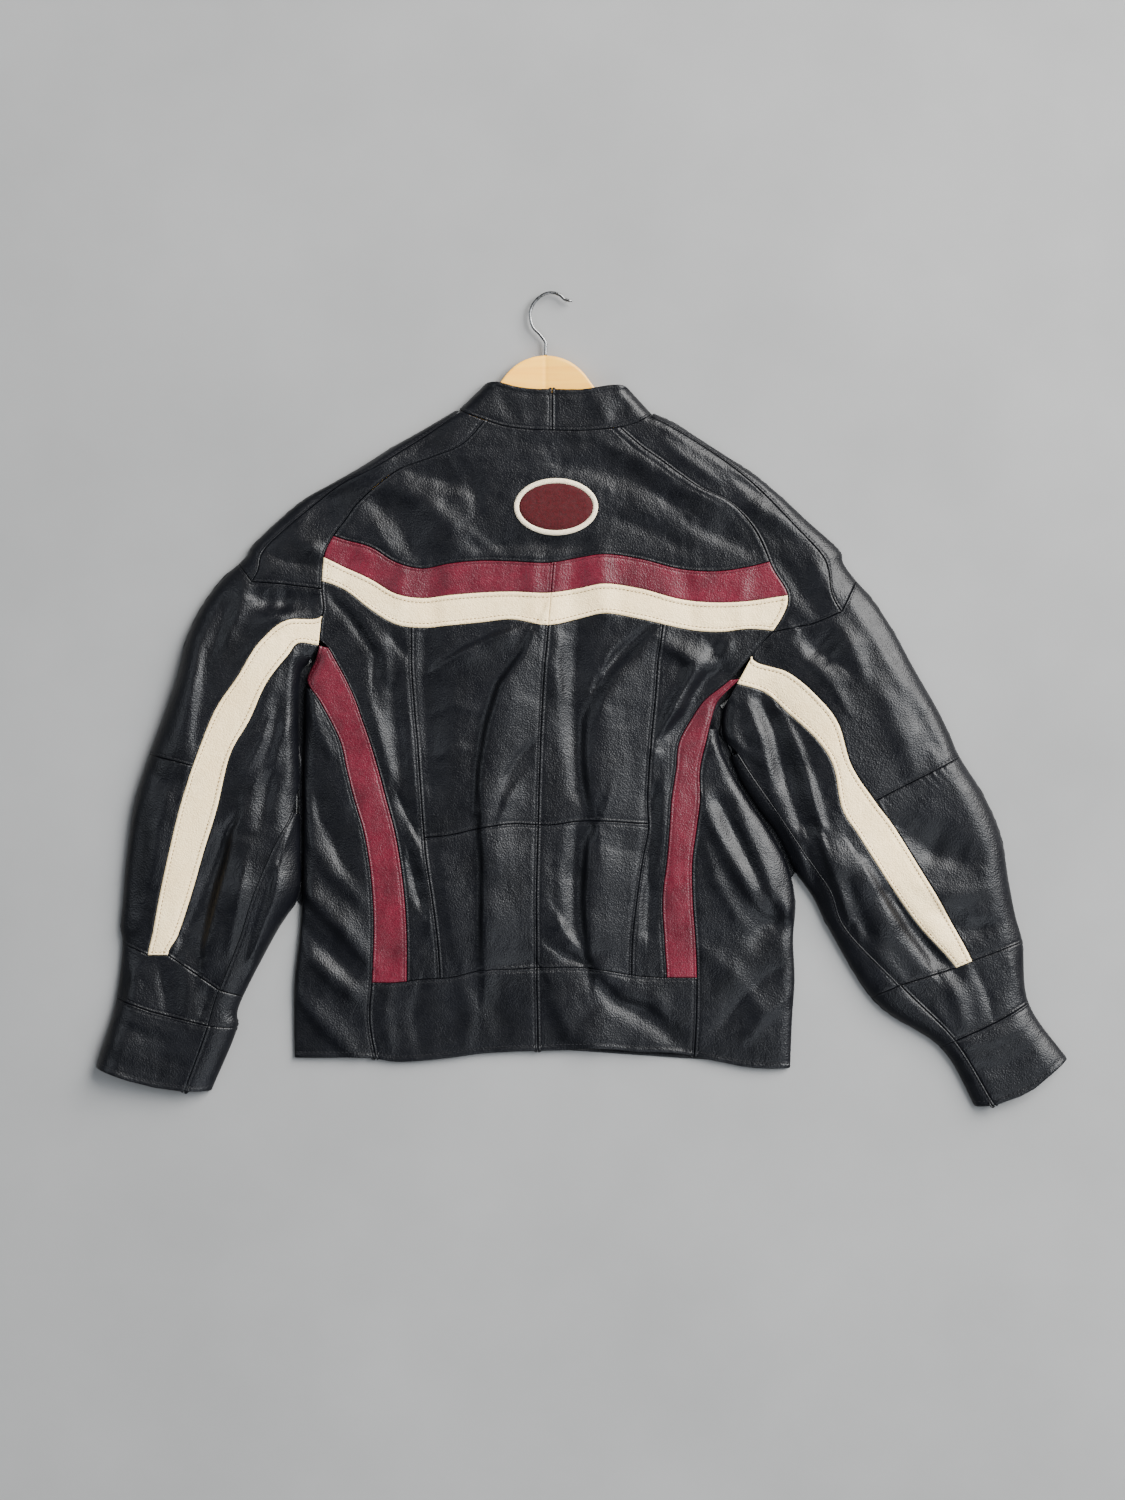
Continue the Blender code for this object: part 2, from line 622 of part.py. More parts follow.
def add_object(name, mesh, finish, smooth=True):
    """Put a finished mesh in the scene under its node's name, with a material of its own."""
    data = bpy.data.meshes.new(name)
    mesh.to_mesh(data)
    mesh.free()
    data.materials.append(finish_for(finish))
    data.polygons.foreach_set("use_smooth", [smooth] * len(data.polygons))
    item = bpy.data.objects.new(name, data)
    bpy.context.scene.collection.objects.link(item)
    return item


def shift_sides(lattice, sides):
    """Move the lattice's sides inwards, each by its own distance in metres."""
    shifted = lattice.copy()
    for axis, place, inner in ((0, 0, 1), (0, -1, -2), (1, 0, 1), (1, -1, -2)):
        step = sides[(axis, place)] / PIXEL
        edge = np.take(lattice, place, axis=axis)
        along = np.gradient(edge, axis=0)
        across = np.stack((-along[:, 1], along[:, 0]), axis=-1)
        across /= np.maximum(np.linalg.norm(across, axis=-1, keepdims=True), 1e-9)
        inward = np.take(lattice, inner, axis=axis) - edge
        across *= np.where((across * inward).sum(axis=-1) < 0, -1.0, 1.0)[:, None]
        if axis == 0:
            shifted[place] += across * step
        else:
            shifted[:, place] += across * step
    return shifted


def surface_normals(lattice, zone):
    """Give the outward directions of the back layer at a lattice, looked up a little inside any folded edge."""
    places = lattice.copy()
    near = edge_distance(lattice) < NORMAL_REACH
    for axis, place, inner in ((1, 0, 1), (1, -1, -2), (0, 0, 1), (0, -1, -2)):
        inward = np.take(lattice, inner, axis=axis) - np.take(lattice, place, axis=axis)
        inward /= np.maximum(np.linalg.norm(inward, axis=-1, keepdims=True), 1e-9)
        inward *= np.take(near, place, axis=axis)[:, None] * NORMAL_REACH / PIXEL
        if axis == 0:
            places[place] += inward
        else:
            places[:, place] += inward
    right = height(places + (NORMAL_STEP, 0), zone) - height(places - (NORMAL_STEP, 0), zone)
    up = height(places - (0, NORMAL_STEP), zone) - height(places + (0, NORMAL_STEP), zone)
    run = 2 * NORMAL_STEP * PIXEL
    normals = np.stack((-right / run, -up / run, np.ones_like(right)), axis=-1)
    return normals / np.linalg.norm(normals, axis=-1, keepdims=True)


def shell_mesh(outer, inner):
    """Make a closed wall between an outer and an inner lattice of points."""
    mesh = bmesh.new()
    rows, columns = outer.shape[:2]
    layers = []
    for lattice in (outer, inner):
        layers.append([[mesh.verts.new(lattice[r, c]) for c in range(columns)] for r in range(rows)])
    top, bottom = layers
    for r in range(rows - 1):
        for c in range(columns - 1):
            mesh.faces.new((top[r][c], top[r][c + 1], top[r + 1][c + 1], top[r + 1][c]))
            mesh.faces.new((bottom[r][c], bottom[r + 1][c], bottom[r + 1][c + 1], bottom[r][c + 1]))
    rim = [(0, c) for c in range(columns)] + [(r, columns - 1) for r in range(1, rows)]
    rim += [(rows - 1, c) for c in range(columns - 2, -1, -1)] + [(r, 0) for r in range(rows - 2, 0, -1)]
    for (r0, c0), (r1, c1) in zip(rim, rim[1:] + rim[:1]):
        mesh.faces.new((top[r0][c0], bottom[r0][c0], bottom[r1][c1], top[r1][c1]))
    bmesh.ops.recalc_face_normals(mesh, faces=mesh.faces)
    return mesh


def cloth_panel(name, lattice, zone, finish, armhole=False):
    """Make one panel of the back layer.

    `armhole` says that its first column meets the sleeve, whose cells end elsewhere, so it stands further off.
    """
    half = SEAM_GAP / 2
    sides = {
        (0, 0): half,
        (0, -1): half,
        (1, 0): half + (ARMHOLE_GAP if armhole else 0.0),
        (1, -1): half,
    }
    shifted = shift_sides(lattice, sides)
    outer = np.concatenate((plan(shifted), height(shifted, zone)[..., None]), axis=-1)
    inner = outer - surface_normals(shifted, zone) * WALL
    inner[..., 2] = np.maximum(inner[..., 2], WALL + REST_GAP / 2)
    return add_object(name, shell_mesh(outer, inner), finish)


def flat_panel(name, outline, finish, bottom=0.0, thickness=WALL, bevel=0.0):
    """Make a flat piece from its outline in the plan, in pixels."""
    mesh = bmesh.new()
    corners = [mesh.verts.new((x, y, bottom)) for x, y in plan(outline)]
    face = mesh.faces.new(corners)
    face.normal_update()
    if face.normal.z < 0:
        face.normal_flip()
    lifted = bmesh.ops.extrude_face_region(mesh, geom=[face])["geom"]
    for item in lifted:
        if isinstance(item, bmesh.types.BMVert):
            item.co.z += thickness
    if bevel:
        bmesh.ops.bevel(mesh, geom=mesh.edges[:], affect="EDGES", offset=bevel, segments=1, profile=0.5, material=-1)
    bmesh.ops.recalc_face_normals(mesh, faces=mesh.faces)
    return add_object(name, mesh, finish, smooth=False)


def shrink(outline, amount):
    """Draw a closed outline in by an amount in pixels."""
    outline = np.asarray(outline, float)
    before = outline - np.roll(outline, 1, axis=0)
    after = np.roll(outline, -1, axis=0) - outline
    area = (outline[:, 0] * np.roll(outline[:, 1], -1) - outline[:, 1] * np.roll(outline[:, 0], -1)).sum()
    turn = 1.0 if area > 0 else -1.0
    sides = []
    for run in (before, after):
        unit = run / np.linalg.norm(run, axis=-1, keepdims=True)
        sides.append(np.stack((-unit[:, 1], unit[:, 0]), axis=-1) * turn)
    bisector = sides[0] + sides[1]
    bisector /= np.maximum((bisector * sides[0]).sum(axis=-1, keepdims=True), 0.4)
    return outline + bisector * amount


# ------------------------------------------------------------------------------------------------------------- pieces
def arm_panels(side):
    """Make the raised panels of one shoulder and sleeve."""
    grid = GRIDS[side]
    under_start = LEFT_UNDER_START if side == "left" else RIGHT_UNDER_START
    pieces = [
        # piece, rows, columns, finish
        ("shoulder_edge", NECK, CAP, OUTER, RIDGE, "black"),
        ("shoulder", NECK, CAP, RIDGE, SEAM, "black"),
        ("sleeve_upper", CAP, ELBOW, OUTER, SEAM, "black"),
        ("sleeve_forearm", ELBOW, WRIST, OUTER, SEAM, "black"),
        ("sleeve_stripe", ARMHOLE, WRIST, SEAM, STRIPE, "cream"),
        ("sleeve_inner", ARMHOLE, WRIST, STRIPE, UNDER, "black"),
        ("sleeve_under_strip", under_start, WRIST, UNDER, INNER, "black"),
        ("wrist", WRIST, CUFF, OUTER, UNDER, "black"),
        ("wrist_strip", WRIST, CUFF, UNDER, INNER, "black"),
        ("cuff", CUFF, CUFF_HEM, OUTER, UNDER, "black"),
        ("cuff_end", CUFF, CUFF_HEM, UNDER, INNER, "black"),
    ]
    for piece, first, last, left, right, finish in pieces:
        lattice = arm_point(grid, arm_rows(grid, first, last), arm_columns(left, right))
        cloth_panel(f"{piece}_{side}", lattice, "arm", finish)


def span(seams, side, levels):
    """Give the lattice of a panel over one or more pairs of seams, each given with its kind of cells."""
    parts = []
    for first, last, cells in seams:
        first, last = (name if name == "centre" else f"{name}_{side}" for name in (first, last))
        parts.append(body_lattice(first, last, levels, BACK_STEPS[cells]))
    return np.concatenate([part[:, :-1] for part in parts[:-1]] + [parts[-1]], axis=1)


def back_panels():
    """Make the bands, the panels below them and the hem band."""
    band = (("stripe_in", "princess", "side_back"), ("princess", "centre", "centre"))
    for side in ("left", "right"):
        for piece, level, finish in (("band_burgundy", BURGUNDY_TOP, "burgundy"), ("band_cream", CREAM_TOP, "cream")):
            lattice = span(band, side, body_levels(level, level + 1))
            cloth_panel(f"{piece}_{side}", lattice, "body", finish, armhole=True)
        for piece, a, b, step, first, last, skip, finish in (
            ("back_upper", "princess", "centre", "centre", CREAM_BOTTOM, WAIST, 0, "black"),
            ("back_lower", "princess", "centre", "centre", WAIST, HEM_SEAM, 0, "black"),
            ("side_back", "stripe_in", "princess", "side_back", CREAM_BOTTOM, HEM_SEAM, 0, "black"),
            ("side_stripe", "stripe_out", "stripe_in", "stripe", CREAM_BOTTOM, HEM_SEAM, STRIPE_START, "burgundy"),
        ):
            lattice = span(((a, b, step),), side, body_levels(first, last, skip))
            cloth_panel(f"{piece}_{side}", lattice, "body", finish, armhole=piece == "side_back")
        lattice = span((("side", "stripe_out", "side"),), side,
                       body_levels(CREAM_BOTTOM, HEM_EDGE, SIDE_START[side]))
        cloth_panel(f"side_panel_{side}", lattice, "body", "black")
        lattice = span((("stripe_out", "stripe_in", "stripe"),) + band, side, body_levels(HEM_SEAM, HEM_EDGE))
        cloth_panel(f"hem_band_{side}", lattice, "body", "black")


def collar_seam(share):
    """Give points on the collar's seam, by place from the left raglan seam to the right one."""
    rows = np.arange(len(COLLAR))
    points = np.array([row.seam for row in COLLAR])
    return spline(rows, points, share)


def yoke():
    """Make the yoke between the collar and the burgundy band, whose cells it shares along their seam."""
    parts = [body_lattice(a, b, [BURGUNDY_TOP], BACK_STEPS[c])[0] for a, b, c in (
        ("stripe_in_left", "princess_left", "side_back"), ("princess_left", "centre", "centre"),
        ("centre", "princess_right", "centre"), ("princess_right", "stripe_in_right", "side_back"))]
    bottom = np.vstack([part[:-1] for part in parts[:-1]] + [parts[-1]])
    shares = (bottom[:, 0] - bottom[0, 0]) / (bottom[-1, 0] - bottom[0, 0])
    neck_line = collar_seam(np.linspace(0, len(COLLAR) - 1, 200))
    top_x = GRIDS["left"][NECK, SEAM, 0] * (1 - shares) + GRIDS["right"][NECK, SEAM, 0] * shares
    top = np.stack((top_x, np.interp(top_x, neck_line[:, 0], neck_line[:, 1])), axis=-1)
    ends = [arm_point(GRIDS[side], arm_rows(GRIDS[side], NECK, BAND), np.array([float(SEAM)]))[:, 0]
            for side in ("left", "right")]
    top[0], top[-1] = ends[0][0], ends[1][0]
    bottom[0], bottom[-1] = ends[0][-1], ends[1][-1]
    down = np.linspace(0, 1, len(ends[0]))[:, None, None]
    across = shares[None, :, None]
    ruled = top[None] * (1 - down) + bottom[None] * down
    sides = ends[0][:, None] * (1 - across) + ends[1][:, None] * across
    corners = ((top[0] * (1 - across) + top[-1] * across) * (1 - down)
               + (bottom[0] * (1 - across) + bottom[-1] * across) * down)
    cloth_panel("back_yoke", ruled + sides - corners, "body", "black")


def collar():
    """Make the two halves of the collar's back, rolled down at the neck's sides."""
    tops = np.array([row.top for row in COLLAR])
    seams = np.array([row.seam for row in COLLAR])
    rows = np.arange(len(COLLAR))
    for side, first, last in (("left", 0, COLLAR_CENTRE), ("right", COLLAR_CENTRE, len(COLLAR) - 1)):
        places = np.linspace(first, last, 2 * (last - first) + 1)
        top = spline(rows, tops, places)
        seam = spline(rows, seams, places)
        lattice = np.array([top * (1 - share) + seam * share for share in np.linspace(0, 1, COLLAR_CELLS + 1)])
        cloth_panel(f"collar_back_{side}", lattice, "body", "black")


def front_layer():
    """Make the hidden flat layer: fronts, collar front, zip, and the flat side of each sleeve."""
    edge = SEAM_GAP / 2 / PIXEL
    zip_top = FRONT_COLLAR_LOW + (SLIDER_LENGTH + REST_GAP) / PIXEL
    for side, sign in (("left", -1), ("right", 1)):
        grid = GRIDS[side]
        zip_edge = ZIP_LINE + sign * ZIP_HALF_WIDTH
        collar_row = COLLAR[0] if side == "left" else COLLAR[-1]
        column = f"side_{side}"
        heights = np.linspace(grid[ARMHOLE, INNER, 1] + 4, 1040.0, 15)
        sleeve_line = arm_point(grid, np.linspace(ARMHOLE, WRIST, 41), np.array([float(INNER)]))[:, 0]
        beside = np.interp(heights, sleeve_line[:, 1], sleeve_line[:, 0])
        side_x = seam_down(column, heights)
        side_x = side_x + sign * np.clip(sign * (beside - side_x) - SLIT_GAP, 0.0, SLIT_REACH)
        body_side = np.stack((side_x, heights), axis=-1)
        hem_x = np.linspace(float(seam_down(column, 1060.0)), zip_edge, 9)
        hem = np.stack((hem_x, seam_across(HEM_EDGE, hem_x)), axis=-1)
        outside = arm_point(grid, np.linspace(CAP, NECK, 17), np.array([float(OUTER)]))[:, 0]
        neck = np.array([collar_row.seam, (ZIP_LINE + sign * NECK_BEND.x, NECK_BEND.y), (zip_edge, NECK_LOW)])
        outline = np.vstack((outside, neck, hem[::-1], body_side[::-1], [grid[ARMHOLE, INNER]]))
        flat_panel(f"front_{side}", shrink(outline, edge), "black")
        top = np.array([(zip_edge, FRONT_COLLAR_LOW), (ZIP_LINE + sign * COLLAR_BEND.x, COLLAR_BEND.y), collar_row.top])
        flat_panel(f"collar_front_{side}", shrink(np.vstack((neck, top)), edge), "black")
        tape = [(ZIP_LINE, zip_top), (zip_edge, zip_top), (zip_edge, seam_across(HEM_EDGE, np.array([zip_edge]))[0]),
                (ZIP_LINE, seam_across(HEM_EDGE, np.array([ZIP_LINE]))[0])]
        flat_panel(f"zip_tape_{side}", shrink(tape, edge), "zip")
        outer = arm_point(grid, np.linspace(CAP, CUFF, 33), np.array([float(OUTER)]))[:, 0]
        inner = arm_point(grid, np.linspace(CUFF, ARMHOLE, 31), np.array([float(INNER)]))[:, 0]
        flat_panel(f"sleeve_flat_{side}", shrink(np.vstack((outer, inner)), edge), "black")
        cuff = np.array([grid[CUFF, OUTER], grid[CUFF_HEM, OUTER], grid[CUFF_HEM, STRIPE], grid[CUFF_HEM, INNER],
                         grid[CUFF, INNER]])
        flat_panel(f"cuff_flat_{side}", shrink(cuff, edge), "black")
    half = (SLIDER_WIDTH / 2) / PIXEL
    length = SLIDER_LENGTH / PIXEL
    box = [(ZIP_LINE - half, FRONT_COLLAR_LOW), (ZIP_LINE + half, FRONT_COLLAR_LOW),
           (ZIP_LINE + half, FRONT_COLLAR_LOW + length), (ZIP_LINE - half, FRONT_COLLAR_LOW + length)]
    flat_panel("zip_slider", box, "steel", thickness=SLIDER_THICKNESS, bevel=SLIDER_BEVEL)


def badge():
    """Make the plain oval badge on the yoke, a face inside a border."""
    angles = np.linspace(0, 2 * math.pi, BADGE_SPOKES, endpoint=False)
    gap = SEAM_GAP / PIXEL
    for name, inner_size, outer_size, finish in (
        ("badge_face", Pixel(0, 0), BADGE_FACE, "burgundy"),
        ("badge_border", Pixel(BADGE_FACE.x + gap, BADGE_FACE.y + gap), BADGE_EDGE, "cream"),
    ):
        mesh = bmesh.new()
        rings = BADGE_RINGS if inner_size.x == 0 else 2
        layers = []
        for lift in (BADGE_LIFT, BADGE_LIFT + BADGE_THICKNESS):
            layer = []
            for ring in range(rings + 1):
                share = ring / rings
                half_x = inner_size.x + (outer_size.x - inner_size.x) * share
                half_y = inner_size.y + (outer_size.y - inner_size.y) * share
                if half_x == 0:
                    points = np.array([BADGE_CENTRE], float)
                else:
                    points = np.stack((BADGE_CENTRE.x + half_x * np.cos(angles),
                                       BADGE_CENTRE.y + half_y * np.sin(angles)), axis=-1)
                high = height(points, "body") + lift
                layer.append([mesh.verts.new((x, y, z)) for (x, y), z in zip(plan(points), high)])
            layers.append(layer)
        for layer in layers:
            for inside, outside in zip(layer[:-1], layer[1:]):
                for i in range(BADGE_SPOKES):
                    j = (i + 1) % BADGE_SPOKES
                    if len(inside) == 1:
                        mesh.faces.new((inside[0], outside[i], outside[j]))
                    else:
                        mesh.faces.new((inside[i], outside[i], outside[j], inside[j]))
        for ring in (0, rings):
            low, high = layers[0][ring], layers[1][ring]
            if len(low) == 1:
                continue
            for i in range(BADGE_SPOKES):
                j = (i + 1) % BADGE_SPOKES
                mesh.faces.new((low[i], low[j], high[j], high[i]))
        bmesh.ops.recalc_face_normals(mesh, faces=mesh.faces)
        add_object(name, mesh, finish)


def hanger():
    """Make the flat wooden hanger and its wire hook."""
    right = [(HANGER_CENTRE + row.away, row.top) for row in HANGER]
    right += [(HANGER_CENTRE + row.away, row.bottom) for row in reversed(HANGER)]
    left = [(2 * HANGER_CENTRE - x, y) for x, y in reversed(right)]
    flat_panel("hanger_wood", right + left[1:-1], "wood", bottom=FOOT, thickness=HANGER_THICKNESS,
               bevel=HANGER_BEVEL)
    knots = np.arange(len(HOOK_ROUTE))
    places = np.linspace(0, len(HOOK_ROUTE) - 1, HOOK_RINGS)
    route = plan(spline(knots, np.array(HOOK_ROUTE), places))
    route[0, 1] = plan(Pixel(HANGER_CENTRE, HANGER[0].top))[1] + REST_GAP
    along = np.gradient(route, axis=0)
    along /= np.linalg.norm(along, axis=-1, keepdims=True)
    middle = FOOT + HANGER_THICKNESS / 2
    mesh = bmesh.new()
    rings = []
    for (x, y), (dx, dy) in zip(route, along):
        ring = []
        for side in range(HOOK_SIDES):
            angle = 2 * math.pi * side / HOOK_SIDES
            out = HOOK_RADIUS * math.cos(angle)
            ring.append(mesh.verts.new((x - dy * out, y + dx * out, middle + HOOK_RADIUS * math.sin(angle))))
        rings.append(ring)
    for first, second in zip(rings[:-1], rings[1:]):
        for i in range(HOOK_SIDES):
            j = (i + 1) % HOOK_SIDES
            mesh.faces.new((first[i], first[j], second[j], second[i]))
    mesh.faces.new(rings[0])
    mesh.faces.new(rings[-1])
    bmesh.ops.recalc_face_normals(mesh, faces=mesh.faces)
    add_object("hanger_hook", mesh, "steel")


def main():
    """Build the whole part."""
    clear_scene()
    for side in ("left", "right"):
        arm_panels(side)
    back_panels()
    yoke()
    collar()
    front_layer()
    badge()
    hanger()


main()
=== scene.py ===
"""A leather racing jacket lying face down on a floor, with the wooden hanger still inside it.

Seams and folds are set out in the plan of the reference picture, in its pixels (see `Pixel`); heights, walls and
edges are in metres. Each cut panel of leather is a lattice of points between its seams, lifted by one relief that
all panels share, with its edges turned under, and then given its wall.
"""

import logging
import math
from dataclasses import dataclass, field
from enum import Enum
from functools import cache
from typing import ClassVar, NamedTuple, Sequence

import bmesh
import bpy
import numpy as np
from mathutils import Matrix, Vector, noise


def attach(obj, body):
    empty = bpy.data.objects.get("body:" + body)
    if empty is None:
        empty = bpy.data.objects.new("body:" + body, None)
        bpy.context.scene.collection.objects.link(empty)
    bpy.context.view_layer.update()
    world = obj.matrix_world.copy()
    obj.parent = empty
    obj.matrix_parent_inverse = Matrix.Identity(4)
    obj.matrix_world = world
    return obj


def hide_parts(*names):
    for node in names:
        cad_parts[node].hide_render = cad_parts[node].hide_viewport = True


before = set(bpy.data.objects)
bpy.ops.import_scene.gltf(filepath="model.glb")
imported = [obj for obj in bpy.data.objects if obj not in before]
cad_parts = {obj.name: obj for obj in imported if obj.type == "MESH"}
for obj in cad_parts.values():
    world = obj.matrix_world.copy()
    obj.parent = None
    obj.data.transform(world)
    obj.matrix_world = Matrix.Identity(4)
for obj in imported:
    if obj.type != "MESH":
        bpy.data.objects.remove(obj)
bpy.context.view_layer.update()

log = logging.getLogger("jacket")

MM = 0.001
PIXEL = 0.512 / 497.0               # metres to a pixel of the reference picture
WALL = 1.3 * MM                     # leather with its backing
FOLD_EDGE = 3.6 * MM                # height of the outermost line of a folded side above the floor
BODY_ROLL = 13.0 * MM               # radius of the rolled side of the body
SLEEVE_ROLL = 26.0 * MM             # radius of the rolled side of a sleeve
LEAST_RISE = 5.0 * MM               # lowest that a trough goes
PITCH = 3.0 * MM                    # wanted cell of a panel
FLAT_PITCH = 4.5 * MM               # the same in the layer on the floor
SEAM_DROP = 0.6 * MM                # how far a panel sinks at its seam
SEAM_ROLL = 1.5 * MM                # over what breadth it does so
STITCH_LINE = 2.9 * MM              # topstitching from the seam
STITCH_SINK = 0.5 * MM              # how deep the topstitching pulls the leather in
STITCH_PUFF = 0.3 * MM              # how far it puffs up between that and the seam
HEM_STITCH = 6.2 * MM               # topstitching from a turned edge
CREAM_STITCH = 4.6 * MM             # topstitching from the long sides of a cream piece, and from its end
CREAM_END_STITCH = 5.5 * MM
YOKE_END_STITCH = 8.0 * MM          # topstitching of the yoke along the right raglan seam
SIDES = (("left", -1), ("right", 1))

Array = np.ndarray
Mesh = bmesh.types.BMesh
Material = bpy.types.Material
Socket = bpy.types.NodeSocket
Colour = tuple[float, float, float]
SEED = 7


class Pixel(NamedTuple):
    """A place in the plan, in pixels of the reference picture, x to the right and y down."""

    x: float
    y: float


ORIGIN = Pixel(581.49, 698.8)       # over the middle of the jacket's footprint
HANGER_CENTRE = 545.5
ZIP_LINE = 533.0
BADGE_CENTRE = Pixel(556.0, 507.0)


# --- named options
class Zone(Enum):
    """The layer of the relief that a panel takes its height from."""

    BODY = "body"
    ARM = "arm"


class Side(Enum):
    """How a panel ends at one of its sides."""

    SEAM = "sewn to its neighbour"
    FOLD = "folded round to the layer below"
    HEM = "turned under, free"
    MIXED = "folded above and sewn below"


class Slot(Enum):
    """The material slots of the part."""

    BLACK = "black_leather"
    CREAM = "cream_leather"
    BURGUNDY = "burgundy_leather"
    WOOD = "wood"
    STEEL = "steel"
    TAPE = "zip_tape"


class Crease(Enum):
    """The cross-section of a fold: the power its slope falls off with."""

    SOFT = 2.0
    SHARP = 1.3


# --- tables of sections
class ArmRow(NamedTuple):
    """One section across a shoulder and sleeve, from its outer fold to its inner one."""

    outer: Pixel
    ridge: Pixel | None
    middle: Pixel | None
    seam: Pixel
    stripe: Pixel
    under: Pixel
    inner: Pixel


def shoulder(outer: tuple, ridge: tuple, middle: tuple, seam: tuple) -> ArmRow:
    """Give a section above the sleeve, which ends at the raglan seam.

    Args:
        outer: Place on the outer fold.
        ridge: Place on the seam of the outer strip.
        middle: Place half-way across.
        seam: Place on the raglan seam.

    Returns:
        The section.
    """
    raglan = Pixel(*seam)
    return ArmRow(Pixel(*outer), Pixel(*ridge), Pixel(*middle), raglan, raglan, raglan, raglan)


def sleeve(outer: tuple, seam: tuple, stripe: tuple, under: tuple, inner: tuple | None = None) -> ArmRow:
    """Give a section of the sleeve.

    Args:
        outer: Place on the outer fold.
        seam: Place on the stripe's outer seam.
        stripe: Place on the stripe's inner seam.
        under: Place on the under strip's seam.
        inner: Place on the inner fold, or none where the under strip has no width.

    Returns:
        The section.
    """
    return ArmRow(Pixel(*outer), None, None, Pixel(*seam), Pixel(*stripe), Pixel(*under), Pixel(*(inner or under)))


#                  outer         ridge         middle        raglan seam
LEFT_ARM = [
    shoulder((455, 409.4), (461.5, 410.6), (471, 415.3), (485, 420.7)),
    shoulder((422, 429), (431, 432), (447, 438), (463, 444)),
    shoulder((390, 447), (400, 452), (415, 455), (430, 458)),
    shoulder((360, 466), (372, 469), (386, 469), (400, 469)),
    shoulder((332, 482), (343, 483), (359, 485), (375, 487)),
    shoulder((300, 501), (318, 501), (338, 503), (356, 505)),
    shoulder((277, 520), (293, 522), (318, 524), (346, 519)),
    shoulder((257, 539), (270, 543), (299, 547), (333.5, 536)),
    ArmRow(Pixel(238, 563), Pixel(252, 582), Pixel(280, 584), Pixel(321.6, 589), Pixel(320, 640),
           Pixel(316, 650), Pixel(316, 650)),
    ArmRow(Pixel(222, 577), Pixel(240, 598), Pixel(277, 606), Pixel(321.6, 616), Pixel(318.5, 645),
           Pixel(308, 662), Pixel(308, 662)),
    #      outer       seam          stripe        under         inner
    sleeve((203, 602), (289, 620), (300, 643), (302, 669)),
    sleeve((186, 636), (262, 640), (288, 656), (299, 684)),
    sleeve((177, 671), (238, 677), (268, 682), (298, 707)),
    sleeve((163, 713), (216, 710), (251, 719), (298, 740)),
    sleeve((148, 754), (194, 766), (231, 755), (299, 775)),
    sleeve((133, 802), (181, 806), (218, 808), (292, 812), (299, 815)),
    sleeve((125, 857), (169, 855), (204, 853), (272, 851), (299, 850)),
    sleeve((121, 905), (158, 905), (189, 903), (251, 903), (296, 900)),
    sleeve((119, 927), (153, 932), (178, 935), (240, 938), (276, 932)),
    sleeve((121, 943), (148, 955), (168, 955), (219, 990), (242, 997)),
    sleeve((115, 998), (150, 1011), (172, 1017), (208, 1026), (236, 1029)),
    sleeve((94, 1068), (130, 1081), (156, 1088), (184, 1092), (210, 1092)),
]
RIGHT_ARM = [
    shoulder((654, 412), (649, 415.9), (636, 422.7), (619, 427.3)),
    shoulder((675, 422), (668, 425), (654, 434), (640, 446)),
    shoulder((702, 439), (695, 441), (677, 452), (660, 460)),
    shoulder((727, 455), (718, 456), (700, 467), (680, 475)),
    shoulder((753, 472), (744, 476), (724, 484), (701, 489)),
    shoulder((779, 493), (768, 498), (746, 503), (727, 501)),
    shoulder((808, 520), (793, 524), (771, 528), (753, 527)),
    shoulder((835, 544), (820, 553), (793, 560), (769.6, 562)),
    ArmRow(Pixel(857, 580), Pixel(841, 612), Pixel(812, 624), Pixel(772, 632), Pixel(739, 680),
           Pixel(729, 698), Pixel(729, 698)),
    ArmRow(Pixel(872, 597), Pixel(853, 626), Pixel(812, 645), Pixel(752, 656), Pixel(737.5, 683.5),
           Pixel(724.5, 706), Pixel(724.5, 706)),
    sleeve((893, 628), (787, 672), (762, 691), (722, 722)),
    sleeve((915, 668), (818, 698), (790, 715), (724, 738)),
    sleeve((938, 708), (838, 725), (817, 741), (738, 753), (731, 757)),
    sleeve((950, 732), (850, 764), (832, 765), (753, 776), (740, 779)),
    sleeve((961, 757), (874, 801), (841, 808), (775, 808), (758, 808)),
    sleeve((985, 795), (893, 826), (857, 834), (795, 838), (779, 837)),
    sleeve((1003, 838), (918, 866), (878, 867), (815, 867), (796, 872)),
    sleeve((1010, 880), (938, 899), (899, 899), (832, 893), (814, 898)),
    sleeve((1016, 912), (955, 929), (918, 925), (844, 925), (829, 928)),
    sleeve((1024, 942), (972, 961), (956, 968), (900, 985), (872, 998)),
    sleeve((1030, 1003), (996, 1022), (984, 1028), (955, 1041), (941, 1048)),
    sleeve((1069, 1060), (1035, 1089), (1020, 1097), (995, 1106), (977, 1108)),
]
# rows of both tables where a seam crosses the sleeve
NECK, BAND, CAP, ARMHOLE, ELBOW, WRIST, CUFF, CUFF_HEM = 0, 7, 8, 9, 14, 19, 20, 21
OUTER, RIDGE, MIDDLE, SEAM, STRIPE, UNDER, INNER = range(7)
UNDER_START = {"left": 15, "right": 12}      # rows where the under strips come out
UPPER_ARM_SHARES = (0.22, 0.6)      # where the plain columns of a sleeve lie between its outer fold and its seam


class Down(NamedTuple):
    """One section across the body: where each seam that runs down the back lies at a height in the plan."""

    y: float
    side_left: float
    stripe_out_left: float
    stripe_in_left: float
    princess_left: float
    centre: float
    princess_right: float
    stripe_in_right: float
    stripe_out_right: float
    side_right: float


